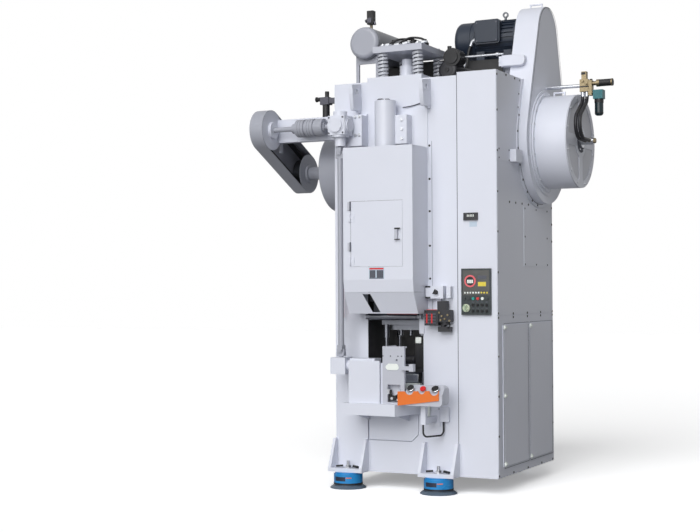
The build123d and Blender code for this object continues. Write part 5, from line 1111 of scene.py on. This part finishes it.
for dress in (
    dress_nodes, dress_cabinet, dress_lower_doors, dress_guard, dress_guard_lines, dress_lugs, dress_drum_end,
    dress_union, dress_air_units, dress_cover, dress_sign, dress_cylinder, dress_gearbox, dress_transfer_drive,
    dress_motor, dress_tank, dress_knockout, dress_crown, dress_sleeve, dress_panel, dress_selector,
    dress_counter, dress_valves, dress_console, dress_housing, dress_die_space, dress_feet, dress_isolators,
):
    dress()


# Stage, light and camera


SKY_LEVEL = 0.15
SHINE_LEVEL = 0.55
KEY_LEVEL = 1.95
FILL_LEVEL = 1.4
FLOOR_GLOW = 0.27
FLOOR_SEEN = 1.3
FLOOR_BOUNCE = 0.42

CAMERA_PLACE = (5.109, -12.025, 1.826)
CAMERA_YAW = 27.025
CAMERA_PITCH = 0.906
CAMERA_ROLL = -0.3
FOCAL_PIXELS = 1381.169
PHOTO_WIDTH = 700.0
SENSOR_WIDTH = 36.0


def combine(tree, operation, first, second):
    """The result of a math node on an output and on another output or a number."""
    made = add_node(tree, "Math")
    made.operation = operation
    tree.links.new(first, made.inputs[0])
    if isinstance(second, float):
        made.inputs[1].default_value = second
    else:
        tree.links.new(second, made.inputs[1])
    return made.outputs[0]


def stage():
    """Pale floor that keeps the object's shadow and looks white around it."""
    mesh = bpy.data.meshes.new("floor")
    half = 40.0
    corners = [(-half, -half, 0), (half, -half, 0), (half, half, 0), (-half, half, 0)]
    mesh.from_pydata(corners, [], [(0, 1, 2, 3)])
    floor = bpy.data.objects.new("floor", mesh)
    bpy.context.scene.collection.objects.link(floor)
    floor.location.z = -0.0005
    material, tree, principled = shader("floor_pale")
    principled.inputs["Roughness"].default_value = 0.9
    seen = add_node(tree, "LightPath").outputs["Is Camera Ray"]
    level = add_node(tree, "MapRange", To_Min=FLOOR_BOUNCE, To_Max=FLOOR_SEEN)
    tree.links.new(seen, level.inputs["Value"])
    tree.links.new(level.outputs["Result"], principled.inputs["Base Color"])
    glow = add_node(tree, "Emission")
    tree.links.new(combine(tree, "MULTIPLY", seen, FLOOR_GLOW), glow.inputs["Strength"])
    total = add_node(tree, "AddShader")
    tree.links.new(principled.outputs[0], total.inputs[0])
    tree.links.new(glow.outputs[0], total.inputs[1])
    output = next(n for n in tree.nodes if n.type == "OUTPUT_MATERIAL")
    tree.links.new(total.outputs[0], output.inputs["Surface"])
    mesh.materials.append(material)


def light():
    """Broad soft light from the front and from above it, with an even pale surround."""
    world = bpy.data.worlds.new("studio")
    bpy.context.scene.world = world
    world.use_nodes = True
    tree = world.node_tree
    seen = tree.nodes["Background"]
    seen.inputs["Color"].default_value = (1.0, 1.0, 1.0, 1.0)
    seen.inputs["Strength"].default_value = 1.0
    lit = add_node(tree, "Background", Color=(0.97, 0.98, 1.0, 1.0), Strength=SKY_LEVEL)
    rays = add_node(tree, "LightPath").outputs
    share = combine(tree, "MULTIPLY", rays["Is Glossy Ray"], SHINE_LEVEL)
    share = combine(tree, "MAXIMUM", rays["Is Camera Ray"], share)
    share = combine(tree, "MAXIMUM", share, rays["Is Transmission Ray"])
    mix = add_node(tree, "MixShader")
    tree.links.new(share, mix.inputs["Fac"])
    tree.links.new(lit.outputs[0], mix.inputs[1])
    tree.links.new(seen.outputs[0], mix.inputs[2])
    output = next(n for n in tree.nodes if n.type == "OUTPUT_WORLD")
    tree.links.new(mix.outputs[0], output.inputs["Surface"])

    for name, way, strength, spread in (
        ("key", Vector((-0.1, 0.79, -0.6)), KEY_LEVEL, 48.0),
        ("fill", Vector((-0.02, 1.0, -0.05)), FILL_LEVEL, 50.0),
    ):
        lamp = bpy.data.lights.new(name, "SUN")
        lamp.energy = strength
        lamp.angle = math.radians(spread)
        obj = bpy.data.objects.new(name, lamp)
        obj.rotation_euler = way.to_track_quat("-Z", "Y").to_euler()
        bpy.context.scene.collection.objects.link(obj)


def camera():
    """Camera at the photograph's place and angle."""
    data = bpy.data.cameras.new("camera")
    data.sensor_width = SENSOR_WIDTH
    data.lens = FOCAL_PIXELS / PHOTO_WIDTH * SENSOR_WIDTH
    data.clip_end = 100.0
    obj = bpy.data.objects.new("camera", data)
    turn = Matrix.Rotation(math.radians(CAMERA_YAW), 4, "Z")
    turn @= Matrix.Rotation(math.radians(90 + CAMERA_PITCH), 4, "X")
    turn @= Matrix.Rotation(math.radians(CAMERA_ROLL), 4, "Z")
    obj.matrix_world = Matrix.Translation(CAMERA_PLACE) @ turn
    bpy.context.scene.collection.objects.link(obj)
    bpy.context.scene.camera = obj


stage()
light()
camera()
bpy.context.scene.view_settings.view_transform = "Standard"
